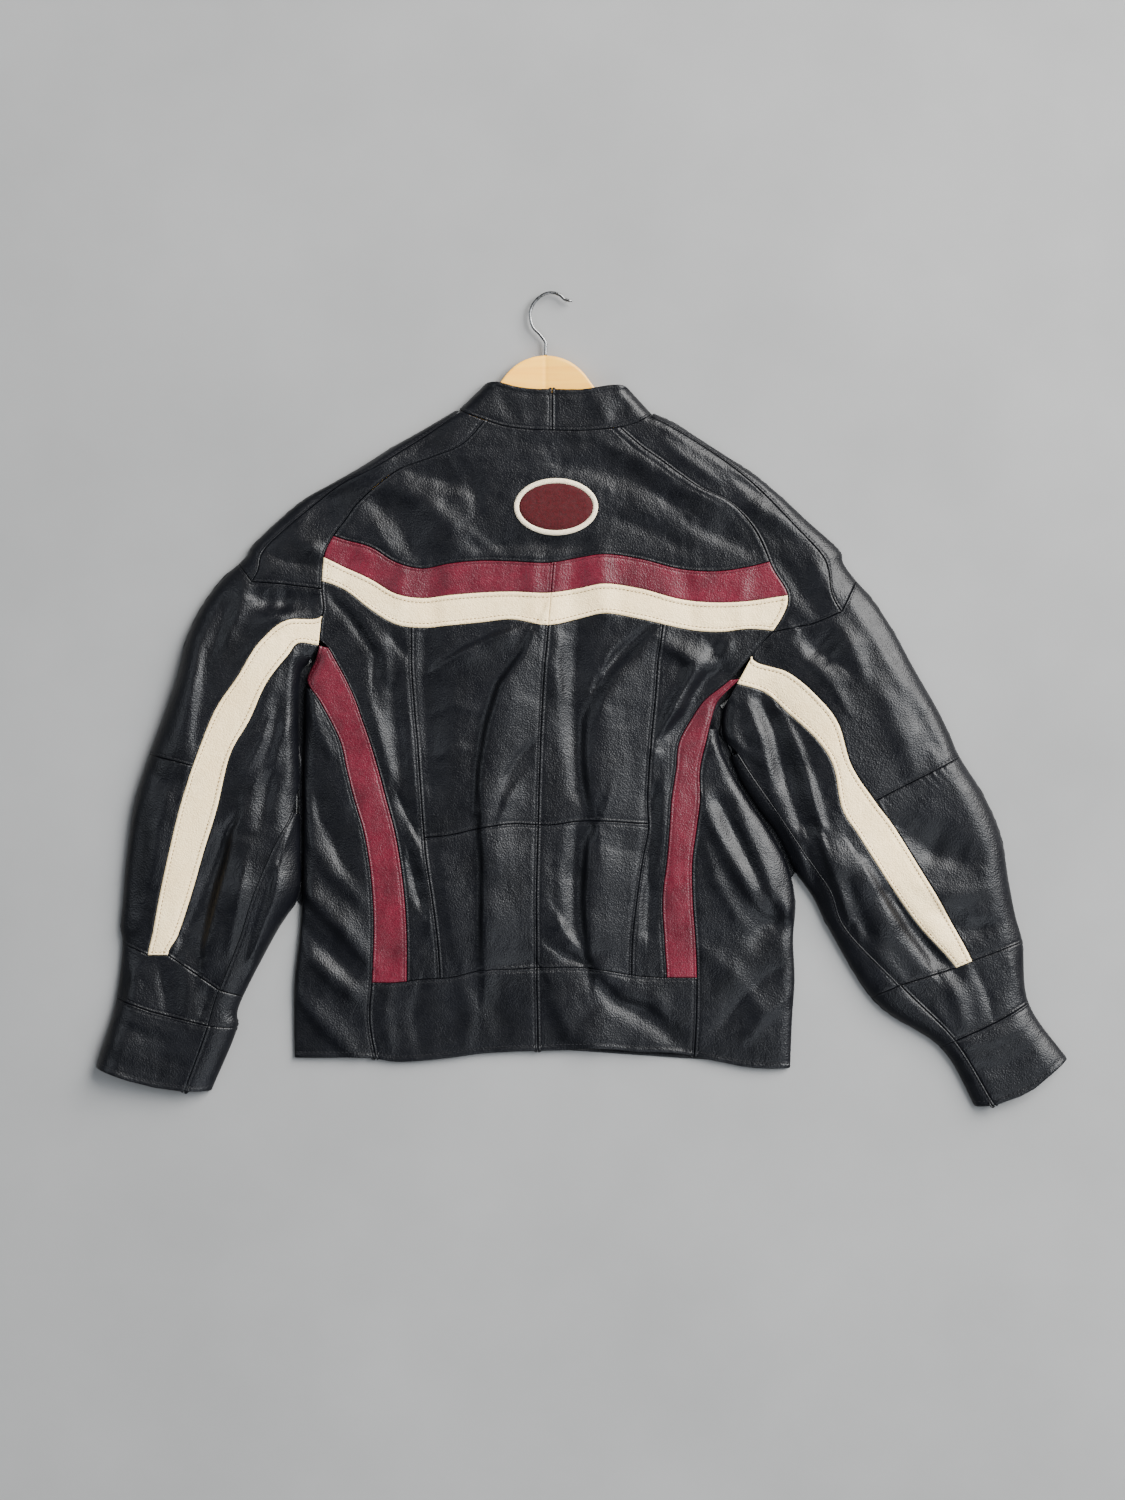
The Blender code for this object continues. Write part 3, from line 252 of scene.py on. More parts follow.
DOWN = [Down(*row) for row in (
    #    y     side   stripe left     princess  centre  princess  stripe right    side
    (640, 319, 319, 320, 411, 547, 660.8, 765.3, 765.6, 765.9),
    (646, 318.5, 319, 326.5, 411, 546.5, 660, 760, 760.3, 760.6),
    (660, 314, 314.6, 335, 411, 545, 658, 748, 749.2, 749.6),
    (680, 305, 306.5, 346, 412, 543.6, 656.5, 730, 738.2, 738.8),
    (700, 303.8, 319, 355, 413.5, 542.5, 655, 705, 719, 720),
    (720, 303.2, 330, 362, 415, 541.5, 653, 691, 711.5, 717),
    (740, 302.8, 339.5, 369, 417, 540.5, 651, 680, 706.5, 720),
    (770, 302.4, 346.5, 378, 419, 539.5, 648.8, 676, 700, 731),
    (800, 302, 354, 386, 421, 538.5, 647.5, 671.5, 700, 749),
    (830, 302, 363, 394, 423, 537.8, 648.5, 669.5, 696.5, 769.5),
    (860, 302, 368.5, 399.5, 426, 537, 643, 667, 692.5, 786),
    (900, 301, 372.5, 404.3, 432, 536.2, 637, 662.5, 692.7, 796),
    (940, 298, 373.3, 406.5, 437, 536.5, 632.5, 664.5, 695.5, 794),
    (980, 293.5, 371.6, 406.4, 439.6, 536.5, 631.4, 667, 697, 795.5),
    (1020, 293, 369, 406.4, 440, 537.2, 631.2, 667, 696.5, 793),
    (1070, 294, 377, 406.4, 440, 538, 631, 667, 693.6, 791),
)]


class Across(NamedTuple):
    """One section down the body: how low each seam that runs across the back lies at a place along it."""

    x: float
    burgundy_top: float
    cream_top: float
    cream_bottom: float
    waist: float
    hem_seam: float
    hem_edge: float


ACROSS = [Across(*row) for row in (
    #       x    burgundy   cream top and bottom   waist   hem seam and edge
    (292, 528, 550, 576, 842, 983, 1059),
    (320, 532, 556, 580.5, 842, 983, 1059),
    (345, 540, 567.5, 590, 842, 983, 1059),
    (371, 547.5, 579.5, 610, 841, 983, 1059.5),
    (395, 562, 593.5, 624, 840, 983, 1063),
    (420, 568.5, 598, 627.8, 838, 980, 1062),
    (450, 563.5, 595, 625.3, 835, 978, 1059),
    (480, 560.7, 592.6, 622.5, 828.3, 971, 1055),
    (510, 561.3, 591.5, 619.3, 824, 969.4, 1053),
    (550, 562.7, 592.6, 625, 825, 967.6, 1051.8),
    (580, 557.5, 588, 618.5, 821.4, 967.8, 1051),
    (600, 554.4, 584, 613.8, 821, 970, 1050),
    (640, 559, 588.5, 619, 823.5, 976.4, 1053),
    (680, 569, 599, 628, 825, 978, 1055),
    (698, 571, 601.5, 631, 825, 978, 1058.7),
    (720, 571, 602.5, 632, 826, 978, 1063),
    (750, 566.5, 601, 629, 826, 978, 1068.7),
    (776, 560, 597, 631, 826, 978, 1070),
    (796, 556, 594, 632, 826, 978, 1069),
)]
BURGUNDY_TOP, CREAM_TOP, CREAM_BOTTOM, WAIST, HEM_SEAM, HEM_EDGE = range(6)
STRIPE_TOP = 2.25                   # level across the back where the side stripes come out of the armholes
SIDE_TOP = {"left": 2.0 + 5 / 12, "right": 2.5}     # and where the side panels do


class CollarRow(NamedTuple):
    """One section of the stand collar, from its top edge to its seam."""

    top: Pixel
    seam: Pixel


COLLAR = [CollarRow(Pixel(*top), Pixel(*seam)) for top, seam in (
    ((487, 381), (459, 408)),
    ((491, 381), (466, 413)),
    ((500, 382), (480, 418.5)),
    ((515, 386), (503, 426)),
    ((533, 388.5), (528, 429.5)),
    ((552, 388.8), (552, 430.3)),
    ((580, 389), (580, 430.8)),
    ((598, 386.5), (604, 429)),
    ((613, 384.5), (628, 425.5)),
    ((624, 385.5), (645, 418.5)),
    ((630, 389), (652, 413)),
)]
COLLAR_CENTRE = 5


class Rise(NamedTuple):
    """How high the back layer stands at a height in the plan, in millimetres."""

    y: float
    body: float
    arm: float


RISES = [Rise(*row) for row in (
    (380, 17.5, 17.5),
    (450, 17.6, 18),
    (560, 16.2, 19),
    (640, 14.6, 23),
    (750, 13.5, 25),
    (860, 13, 22),
    (960, 11, 17),
    (1020, 8.5, 18),
    (1110, 6, 15),
)]

class Fold(NamedTuple):
    """A fold in the leather along a line: a ridge where its rise is above zero, or else a trough."""

    route: tuple            # places in the plan, in pixels
    half_width: float       # pixels
    rise: float             # millimetres
    lean: float = 0.0       # from -1 to 1: how much steeper its right-hand side is, seen along the route
    crease: Crease = Crease.SOFT


SHARP = Crease.SHARP
ARM_FOLDS = [Fold(*row) for row in (
    # left sleeve
    (((226, 833), (214, 866), (200, 903), (184, 936)), 16, -8.1, 0.3),
    (((236, 830), (228, 868), (214, 921), (206, 952)), 18, 9, 0.7),
    (((245, 868), (239, 910), (230, 952)), 6, 2.4),
    (((280, 868), (274, 903), (262, 934), (252, 960)), 13, 6.4, 0.6),
    (((297, 816), (285, 846), (272, 872)), 6, 2.5, -0.4, SHARP),
    (((293, 660), (295, 720), (293, 785)), 10, 5, 0.2),
    (((277, 700), (272, 740), (268, 790), (262, 820)), 9, -3.8),
    (((196, 640), (188, 700), (185, 765)), 16, 3.8),
    (((208, 640), (203, 690), (196, 740)), 7, -2, 0.3),
    (((170, 790), (160, 830), (152, 880)), 8, 2.4, 0.2),
    (((146, 812), (139, 860), (136, 910)), 7, -2.2),
    (((262, 601), (283, 606), (306, 603)), 12, -6.9, 0.3),
    (((262, 624), (277, 618), (296, 609)), 10, 4.4),
    (((230, 600), (222, 622), (214, 650)), 8, -2.4),
    (((246, 590), (240, 612), (226, 640)), 7, 2),
    (((290, 518), (320, 502), (352, 491)), 14, -5.6, -0.2),
    (((262, 548), (286, 562), (314, 566)), 7, -2, 0.2, SHARP),
    (((300, 540), (318, 552), (330, 562)), 7, 2.4),
    (((352, 476), (380, 466), (410, 452)), 8, 2, 0.2),
    (((398, 455), (425, 440), (450, 425)), 7, -2),
    (((262, 700), (250, 724), (238, 742)), 4, -1.4, 0.4, SHARP),
    (((272, 712), (262, 744), (244, 774)), 4, 1.6, 0.3),
    (((288, 724), (275, 760), (254, 786)), 6, 2),
    (((158, 962), (163, 988), (167, 1012)), 4, -1.8, 0.3, SHARP),
    (((130, 960), (134, 985), (132, 1004)), 5, 1.4),
    (((184, 960), (188, 990), (184, 1016)), 7, 2, 0.3),
    (((210, 986), (206, 1006), (200, 1020)), 5, -1.6),
    (((130, 1020), (150, 1030), (176, 1034)), 5, 1.2, 0.4),
    (((122, 1046), (150, 1056), (190, 1066)), 7, -1),
    (((116, 1022), (104, 1058), (92, 1100)), 34, 8, 0.6),
    (((150, 772), (174, 790), (196, 782)), 6, -1.6, 0, SHARP),
    (((240, 660), (252, 650), (270, 640)), 5, 1.2),
    # right sleeve
    (((762, 700), (776, 732), (788, 780), (802, 822)), 13, -8.1, 0.3),
    (((780, 712), (794, 744), (806, 780), (820, 826)), 15, 6.8, -0.6),
    (((748, 706), (760, 740), (770, 778)), 8, 3.8),
    (((860, 864), (880, 900), (900, 930), (924, 960)), 16, 7, -0.6),
    (((890, 894), (908, 924), (930, 950), (954, 970)), 10, -6.2, -0.2),
    (((820, 836), (836, 880), (850, 918)), 13, 5.8, 0.6),
    (((806, 850), (816, 884), (826, 916)), 6, -2.9),
    (((860, 930), (880, 956), (906, 982)), 7, 2.6, 0.2),
    (((846, 880), (856, 910), (872, 944)), 8, -3.8),
    (((904, 832), (932, 850), (966, 862)), 17, -5.6, 0.2),
    (((916, 884), (944, 896), (980, 890)), 10, 2.9),
    (((938, 912), (966, 930), (996, 924)), 9, -2.9),
    (((806, 638), (818, 650), (832, 662)), 14, -5.6, 0.3),
    (((838, 626), (852, 648), (862, 676)), 9, 2.9),
    (((858, 600), (884, 636), (906, 676)), 10, -2.4, 0.3),
    (((880, 590), (896, 612), (906, 632)), 10, 2.8),
    (((800, 654), (828, 680), (846, 712)), 6, 1.6, 0.4),
    (((880, 690), (900, 730), (912, 766)), 12, 2.4),
    (((910, 700), (930, 736), (944, 760)), 9, -2.2),
    (((716, 728), (736, 742), (760, 764)), 5, 1.8, 0.3, SHARP),
    (((768, 786), (786, 826), (802, 862)), 6, 2.4, 0.3),
    (((745, 500), (770, 515), (790, 530)), 10, 2.9),
    (((736, 478), (760, 494), (784, 512)), 7, -2.4, 0.3),
    (((778, 560), (800, 590), (818, 616)), 9, -2.6),
    (((812, 560), (826, 586), (836, 604)), 8, 2.2),
    (((664, 442), (690, 462), (716, 480)), 6, 1.6),
    (((676, 430), (702, 448), (728, 466)), 5, -1.4, 0.3),
    (((972, 964), (985, 990), (992, 1018)), 6, -2, 0.4, SHARP),
    (((1010, 960), (1020, 984), (1026, 1000)), 6, 2),
    (((944, 972), (958, 1000), (964, 1026)), 7, 2),
    (((906, 990), (926, 1008), (942, 1026)), 5, -1.6),
    (((966, 1046), (992, 1042), (1024, 1026)), 6, 1.4, 0.4),
    (((968, 1070), (1000, 1068), (1040, 1042)), 8, -1.2),
)]
BODY_FOLDS = [Fold(*row) for row in (
    # yoke
    (((365, 495), (398, 520), (412, 552)), 14, -3.2, 0.2),
    (((416, 474), (445, 480), (476, 492)), 10, -2.8, 0.3),
    (((392, 486), (424, 500), (452, 524)), 10, 2.6),
    (((432, 520), (448, 534), (464, 552)), 17, 2.4),
    (((454, 456), (470, 476), (478, 510)), 8, -1.7),
    (((478, 548), (530, 544), (584, 546)), 9, -2.8, 0.3),
    (((470, 532), (500, 556), (540, 558)), 5, 1.5, 0, SHARP),
    (((562, 466), (600, 470), (640, 482), (682, 508)), 13, -3.2, 0.2),
    (((610, 446), (640, 462), (672, 476)), 8, 1.7),
    (((650, 478), (690, 490), (724, 506)), 13, 2.8, 0.2),
    (((620, 520), (650, 530), (684, 548)), 8, -1.7),
    (((690, 524), (722, 536), (752, 552)), 10, -2.2, 0.3),
    (((520, 442), (552, 446), (590, 442)), 7, -1),
    (((372, 520), (382, 540), (392, 552)), 6, 1.5, 0.3, SHARP),
    # bands
    (((436, 556), (430, 590), (434, 622)), 9, -1.6),
    (((404, 560), (400, 590), (402, 616)), 7, 1.4),
    (((576, 556), (572, 588), (574, 618)), 12, -2.4),
    (((604, 556), (602, 590), (606, 616)), 10, 2),
    (((534, 560), (532, 592), (534, 620)), 7, 1.6),
    (((682, 570), (690, 600), (694, 628)), 8, -1.4),
    (((746, 566), (740, 600), (742, 630)), 7, 1.2),
    (((352, 548), (348, 568), (342, 588)), 7, -1.4),
    # left of the centre seam
    (((425, 634), (424, 700), (428, 782)), 13, -4, 0.2),
    (((440, 664), (466, 650), (496, 636), (524, 627)), 9, 4.6, -0.7),
    (((533, 634), (524, 654), (502, 686), (490, 726), (482, 768), (479, 812)), 20, 8.4, 0.76),
    (((432, 716), (452, 706), (478, 712)), 5, 1.2, 0.5, SHARP),
    (((436, 758), (456, 748), (474, 752)), 6, 1.3, 0.4, SHARP),
    (((534, 742), (518, 757), (504, 780)), 6, -2.6, 0.5, SHARP),
    (((522, 778), (508, 800), (500, 820)), 7, 2, 0.4),
    (((482, 822), (485, 860), (485, 902), (483, 968)), 19, 8, 0.8),
    (((440, 850), (446, 900), (458, 960)), 12, 1.8, 0.5),
    (((484, 968), (530, 964), (584, 964)), 6, -2, 0.3),
    # right of the centre seam
    (((575, 636), (574, 700), (577, 790)), 12, -4.6, 0.2),
    (((560, 636), (556, 662), (560, 700)), 8, 2.6, -0.5),
    (((648, 626), (636, 637), (618, 654), (602, 676), (590, 700)), 8, -4.6, 0.6),
    (((652, 634), (634, 652), (614, 676), (598, 704)), 9, 3, 0.6),
    (((594, 698), (588, 722), (588, 760), (594, 818)), 22, 6.4, 0.78),
    (((597, 824), (590, 846), (587, 900), (590, 956)), 20, 7.4, 0.8),
    (((576, 828), (573, 870), (574, 926)), 9, -4.2, 0.2),
    (((546, 944), (564, 957), (586, 965)), 6, -3.2, 0.5, SHARP),
    (((556, 914), (566, 936), (580, 952)), 9, 3.2, -0.6),
    # left side of the back
    (((331, 598), (349, 617), (366, 641), (375, 655), (372, 676)), 7, -3.6, 0.4, SHARP),
    (((344, 600), (362, 622), (380, 648), (388, 680)), 8, 2.9),
    (((389, 634), (398, 646), (408, 658)), 5, -2, 0.2, SHARP),
    (((392, 680), (396, 730), (402, 780)), 9, -2.2),
    (((366, 690), (378, 730), (390, 776)), 7, 2),
    (((398, 798), (408, 818), (420, 842)), 6, -3, 0.3, SHARP),
    (((409, 860), (416, 884), (424, 912)), 7, -3.1, 0.3),
    (((410, 820), (424, 870), (430, 930)), 7, 2.4),
    (((302, 888), (336, 924), (368, 962)), 10, 5, 0.4),
    (((312, 960), (336, 982), (362, 1002)), 9, 3.8, 0.3),
    (((300, 998), (326, 1030), (356, 1058)), 10, 3.8, 0.3),
    (((302, 926), (326, 950), (352, 978)), 8, -2.6),
    (((310, 780), (322, 820), (346, 870)), 9, -2.6, 0.3),
    (((310, 700), (318, 730), (330, 752)), 7, 2.2),
    (((308, 840), (330, 872), (360, 902)), 7, 2.2, 0.2),
    # right side of the back
    (((664, 645), (684, 656), (694, 663), (693, 672), (686, 688), (676, 706), (665, 730), (655, 750)), 10, 6.2, 0.3),
    (((720, 672), (706, 678), (696, 693), (686, 714), (662, 740)), 10, -5.8, 0.3),
    (((706, 640), (714, 650), (722, 662)), 6, -2.8, 0.2, SHARP),
    (((730, 640), (724, 652), (712, 664)), 7, 2.4),
    (((652, 800), (651, 860), (647, 930)), 10, -4.8, 0.2),
    (((664, 780), (660, 830), (654, 880)), 6, 2),
    (((704, 804), (708, 816), (730, 856), (752, 894), (768, 914), (786, 914)), 12, 5.6, 0.4),
    (((740, 820), (756, 854), (772, 890), (786, 912)), 9, 4.5, 0.3),
    (((718, 800), (736, 836), (760, 880)), 8, -4.2),
    (((704, 836), (716, 880), (738, 920)), 8, 2.2, 0.3),
    (((760, 936), (770, 920), (786, 926)), 14, -5.8),
    (((720, 1030), (742, 1002), (762, 982), (784, 968)), 6, -2.4, 0.3, SHARP),
    (((704, 950), (730, 972), (756, 1004)), 10, 2.2),
    (((748, 1040), (766, 1014), (790, 996)), 8, 2.2, 0.3),
    (((712, 742), (722, 760), (734, 776)), 5, 2, 0.3, SHARP),
    # hem band
    (((602, 974), (624, 994), (652, 1002), (670, 1018)), 10, 4, 0.3),
    (((588, 974), (616, 1000), (652, 1020), (678, 1042), (692, 1058)), 12, -3.8, 0.2),
    (((552, 992), (572, 1034), (620, 1060)), 24, 5, 0.6),
    (((420, 984), (414, 1014), (420, 1050)), 9, -1.6, 0.3),
    (((460, 980), (470, 1010), (466, 1046)), 8, 1.6),
    (((500, 974), (496, 1010), (504, 1040)), 10, -1.4),
    (((388, 990), (384, 1020), (392, 1050)), 7, 1.4),
    # collar
    (((500, 392), (508, 406), (516, 420)), 6, -1),
    (((590, 392), (600, 404), (606, 420)), 7, 1),
    (((628, 398), (618, 408), (612, 420)), 6, -1.2, 0.3),
)]


class Gathers(NamedTuple):
    """Small tucks side by side along a seam, which fade out below it."""

    route: tuple            # the seam, in pixels
    count: int
    reach: float            # pixels
    rise: float             # millimetres


ARM_GATHERS = [Gathers(*row) for row in (
    (((873, 803), (900, 789), (930, 773), (961, 759)), 19, 9, 1.1),
    (((150, 755), (166, 759), (180, 763), (194, 768)), 9, 7, 0.6),
)]


class HangerRow(NamedTuple):
    """One section of the hanger's arm, by its distance from the middle."""

    away: float
    top: float
    bottom: float


HANGER = [HangerRow(*row) for row in (
    (0, 354.7, 394),
    (12, 356.4, 395),
    (25, 361.5, 399),
    (37, 371, 405),
    (50, 388, 416),
    (72, 408, 433),
    (100, 434, 457),
    (140, 462, 483),
    (176, 489, 507),
)]
HOOK_ROUTE = [Pixel(*row) for row in (
    (545.5, 354.4), (545.5, 347), (545.3, 341), (540, 333.5), (533, 326),
    (530.3, 316.5), (531, 307.5), (536, 299), (544, 293), (552, 291.4),
    (559.5, 293.6), (565, 298), (572, 300),
)]
# --- small maths
def spline(knots: Array, values: Array, at: Array) -> Array:
    """Give a smooth curve's values at some places.

    Args:
        knots: Rising places where the curve is known.
        values: What it is there, one row to a knot.
        at: Places to look it up.

    Returns:
        One row of values to each place.
    """
    knots, values, at = (np.asarray(item, float) for item in (knots, values, at))
    slopes = np.gradient(values, knots, axis=0)
    cell = np.clip(np.searchsorted(knots, at, side="right") - 1, 0, len(knots) - 2)
    width = knots[cell + 1] - knots[cell]
    share = (at - knots[cell]) / width
    if values.ndim > 1:
        width, share = width[:, None], share[:, None]
    start, rise = values[cell], values[cell + 1] - values[cell]
    first, last = slopes[cell] * width, slopes[cell + 1] * width
    return start + share * (first + share * (3 * rise - 2 * first - last + share * (first + last - 2 * rise)))


def plan(points: Array) -> Array:
    """Turn picture places into metres in the plan.

    Args:
        points: Places in pixels, x and y last.

    Returns:
        The same places in metres.
    """
    points = np.asarray(points, float)
    return np.stack(((points[..., 0] - ORIGIN.x) * PIXEL, (ORIGIN.y - points[..., 1]) * PIXEL), axis=-1)


def smooth(share: Array) -> Array:
    """Ease a share in and out.

    Args:
        share: Numbers, of which those outside 0 to 1 are clipped.

    Returns:
        The eased numbers.
    """
    share = np.clip(share, 0.0, 1.0)
    return share * share * (3 - 2 * share)


def unit(vectors: Array) -> Array:
    """Scale vectors to length 1.

    Args:
        vectors: Vectors, with their parts last.

    Returns:
        The unit vectors.
    """
    return vectors / np.maximum(np.linalg.norm(vectors, axis=-1, keepdims=True), 1e-12)


def along(points: Array, axis: int) -> Array:
    """Measure how far each point of a lattice lies along its line.

    Args:
        points: The lattice.
        axis: 0 to measure down the columns, 1 along the rows.

    Returns:
        Distances from the first point of each line.
    """
    steps = np.linalg.norm(np.diff(points, axis=axis), axis=-1)
    start = np.zeros_like(np.take(steps, [0], axis=axis))
    return np.concatenate((start, np.cumsum(steps, axis=axis)), axis=axis)


def length(line: Array) -> float:
    """Measure a line.

    Args:
        line: Its points.

    Returns:
        Its length.
    """
    return float(along(line[None], 1)[0, -1])


def pick(line: Array, reach: Array, at: float | Array) -> Array:
    """Give the places at some distances along a line.

    Args:
        line: Its points.
        reach: How far along it each of them lies.
        at: The distances.

    Returns:
        The places.
    """
    return np.stack([np.interp(at, reach, part) for part in line.T], axis=-1)


def at_shares(line: Array, shares: Array) -> Array:
    """Give the places at some shares of a line's length.

    Args:
        line: Its points.
        shares: The shares.

    Returns:
        The places.
    """
    reach = along(line[None], 1)[0]
    return pick(line, reach, shares * reach[-1])


def raised(places: Array, height: Array) -> Array:
    """Turn picture places with heights into points.

    Args:
        places: Places in pixels.
        height: Their heights in metres.

    Returns:
        Points in metres.
    """
    return np.concatenate((plan(places), height[..., None]), axis=-1)


STEPS = {                           # distances of the first lines of a lattice from its side, in metres
    Side.SEAM: np.array([0.28, 0.8, 1.4, 2.1, 2.9, 3.7, 5.0]) * MM,
    Side.FOLD: np.array([0.0, 0.15, 0.6, 1.3, 2.4, 4.0, 6.2, 9.0]) * MM,
    Side.HEM: np.array([1.4, 1.8, 2.6, 4.0, 6.0, 8.0]) * MM,
}
STEPS[Side.MIXED] = STEPS[Side.FOLD]


def cell_count(width: float, first: Side, last: Side, pitch: float = PITCH) -> int:
    """Give the number of plain cells that a panel has between its finer ends.

    Args:
        width: Its greatest width in metres.
        first: The side at its start.
        last: The side at its end.
        pitch: The wanted cell.

    Returns:
        The number of cells.
    """
    return max(1, round((width - STEPS[first][-1] - STEPS[last][-1]) / pitch))


def graded(widths: Array, first: Side, last: Side, cells: int | None = None, pitch: float = PITCH) -> Array:
    """Divide some lines into the same number of cells, finer towards their ends.

    Args:
        widths: The lines' lengths in metres.
        first: The side at their start.
        last: The side at their end.
        cells: Number of plain cells between, or none to work it out.
        pitch: The wanted cell.

    Returns:
        Distances along each line, one row to a line.
    """
    cells = cells or cell_count(float(np.max(widths)), first, last, pitch)
    widths = np.asarray(widths, float)[:, None]
    start, end = STEPS[first][None], STEPS[last][None]
    start = start * np.minimum(1.0, 0.42 * widths / start[0, -1])
    end = widths - (end * np.minimum(1.0, 0.42 * widths / end[0, -1]))[:, ::-1]
    share = np.arange(1, cells) / cells
    middle = start[:, -1:] * (1 - share) + end[:, :1] * share
    return np.concatenate((start, middle, end), axis=1)


# --- seams in plan
class ArmPlan:
    """The seams of one shoulder and sleeve in the plan."""

    def __init__(self, side: str, table: Sequence[ArmRow]) -> None:
        """Set the seams out.

        Args:
            side: "left" or "right" in the picture.
            table: The arm's sections, from the neck to the cuff.
        """
        rows = []
        for row in table:
            points = [np.array(point, float) if point else None for point in row]
            for column, share in zip((RIDGE, MIDDLE), UPPER_ARM_SHARES):
                if points[column] is None:
                    points[column] = points[OUTER] + share * (points[SEAM] - points[OUTER])
            rows.append(points)
        self.side = side
        self.grid = np.array(rows)
        steps = np.linalg.norm(np.diff(self.grid, axis=0), axis=-1).mean(axis=1)
        self.knots = np.concatenate(([0.0], np.cumsum(np.maximum(steps, 0.01))))

    def sections(self, at: Array) -> Array:
        """Give sections between those of the table.

        Args:
            at: Distances down the arm in pixels.

        Returns:
            The places on the seven seams, one row to a distance.
        """
        return spline(self.knots, self.grid.reshape(len(self.grid), -1), at).reshape(len(at), -1, 2)

    def line(self, seam: int, first: int, last: int, count: int = 121) -> Array:
        """Give one seam as a line of places.

        Args:
            seam: The seam's number.
            first: Row of the table it starts at.
            last: Row of the table it ends at.
            count: Number of places.

        Returns:
            The places in pixels.
        """
        return self.sections(np.linspace(self.knots[first], self.knots[last], count))[:, seam]

    def lattice(self, rows: tuple[int, int], seams: tuple[int, int], sides: "Sides") -> Array:
        """Give the places of a panel's lattice.

        Args:
            rows: First and last row of the table.
            seams: Numbers of the seams at its start and end.
            sides: How the panel ends.

        Returns:
            Places in pixels, by row and column.
        """
        first, last = self.knots[rows[0]], self.knots[rows[1]]
        down = graded([(last - first) * PIXEL], sides.top, sides.bottom)[0] / PIXEL
        sections = self.sections(first + down)[:, seams[0]:seams[1] + 1]
        reach = along(sections, 1)
        across = graded(reach[:, -1] * PIXEL, sides.start, sides.end) / PIXEL
        return np.array([pick(*row) for row in zip(sections, reach, across)])


ARMS = {"left": ArmPlan("left", LEFT_ARM), "right": ArmPlan("right", RIGHT_ARM)}


@dataclass(frozen=True)
class Sides:
    """How a panel ends at its four sides."""

    top: Side = Side.SEAM
    bottom: Side = Side.SEAM
    start: Side = Side.SEAM
    end: Side = Side.SEAM


class BodyPlan:
    """The seams of the back in the plan."""

    def __init__(self) -> None:
        """Set the seams out, and the armholes they run into."""
        self.down = np.array(DOWN)
        self.across = np.array(ACROSS)
        self.armholes = {}
        for side, arm in ARMS.items():
            line = arm.line(SEAM, NECK, ARMHOLE)
            self.armholes[side] = np.vstack((line, arm.grid[ARMHOLE, STRIPE]))

    def seam_down(self, name: str, y: Array) -> Array:
        """Give the x of a seam that runs down the back, which follows the armhole above the first section.

        Args:
            name: The seam.
            y: Heights in the plan.

        Returns:
            Its x at each height.
        """
        y = np.asarray(y, float)
        index = Down._fields.index(name)
        top, first, second = DOWN[0].y, self.down[0, index], self.down[1, index]
        below = spline(self.down[:, 0], self.down[:, index], np.maximum(y, top).ravel()).reshape(y.shape)
        if name in ("princess_left", "centre", "princess_right"):
            above = first + (second - first) / (DOWN[1].y - top) * (y - top)
        else:
            line = self.armholes["left" if name.endswith("left") else "right"]
            above = np.interp(y, line[:, 1], line[:, 0])
        return np.where(y < top, above, below)

    def seam_across(self, level: Array, x: Array) -> Array:
        """Give the y of the seam that runs across the back at a whole or part level.

        Args:
            level: Levels, whole at the seams of the table.
            x: Places along them.

        Returns:
            The y at each.
        """
        level, x = np.broadcast_arrays(level, x)
        places = np.clip(x, self.across[0, 0], self.across[-1, 0]).ravel()
        heights = spline(self.across[:, 0], self.across[:, 1:], places)
        base = np.minimum(level.astype(int), HEM_EDGE - 1).ravel()
        share = level.ravel() - base
        row = np.arange(len(base))
        return (heights[row, base] * (1 - share) + heights[row, base + 1] * share).reshape(x.shape)

    def lattice(self, seams: tuple[str, str], levels: tuple[float, float], sides: Sides) -> Array:
        """Give the places of a panel's lattice.

        Args:
            seams: Names of the seams at its start and end.
            levels: Levels across the back at its top and bottom.
            sides: How the panel ends.

        Returns:
            Places in pixels, by row and column.
        """
        knots = np.array(sorted({levels[0], levels[1], *range(math.ceil(levels[0]), math.floor(levels[1]) + 1)}))
        middle = sum(float(self.seam_down(name, np.array(800.0))) for name in seams) / 2
        reach = self.seam_across(knots, np.full(len(knots), middle))
        depth = (reach[-1] - reach[0]) * PIXEL
        rows = reach[0] + graded([depth], sides.top, sides.bottom)[0] / PIXEL
        level = np.interp(rows, reach, knots)[:, None]
        edges = [self.seam_down(name, rows) for name in seams]
        cells = cell_count(float(abs(edges[1] - edges[0]).max()) * PIXEL, sides.start, sides.end)
        share = graded(np.full(len(rows), depth), sides.start, sides.end, cells) / depth
        x = 300 + 480 * share
        for _ in range(16):
            y = self.seam_across(level, x)
            start, end = self.seam_down(seams[0], y), self.seam_down(seams[1], y)
            width = np.maximum(abs(end - start).mean(axis=1), 0.3) * PIXEL
            share = graded(width, sides.start, sides.end, cells) / width[:, None]
            x = (1 - share) * start + share * end
        return np.stack((x, self.seam_across(level, x)), axis=-1)


BODY = BodyPlan()


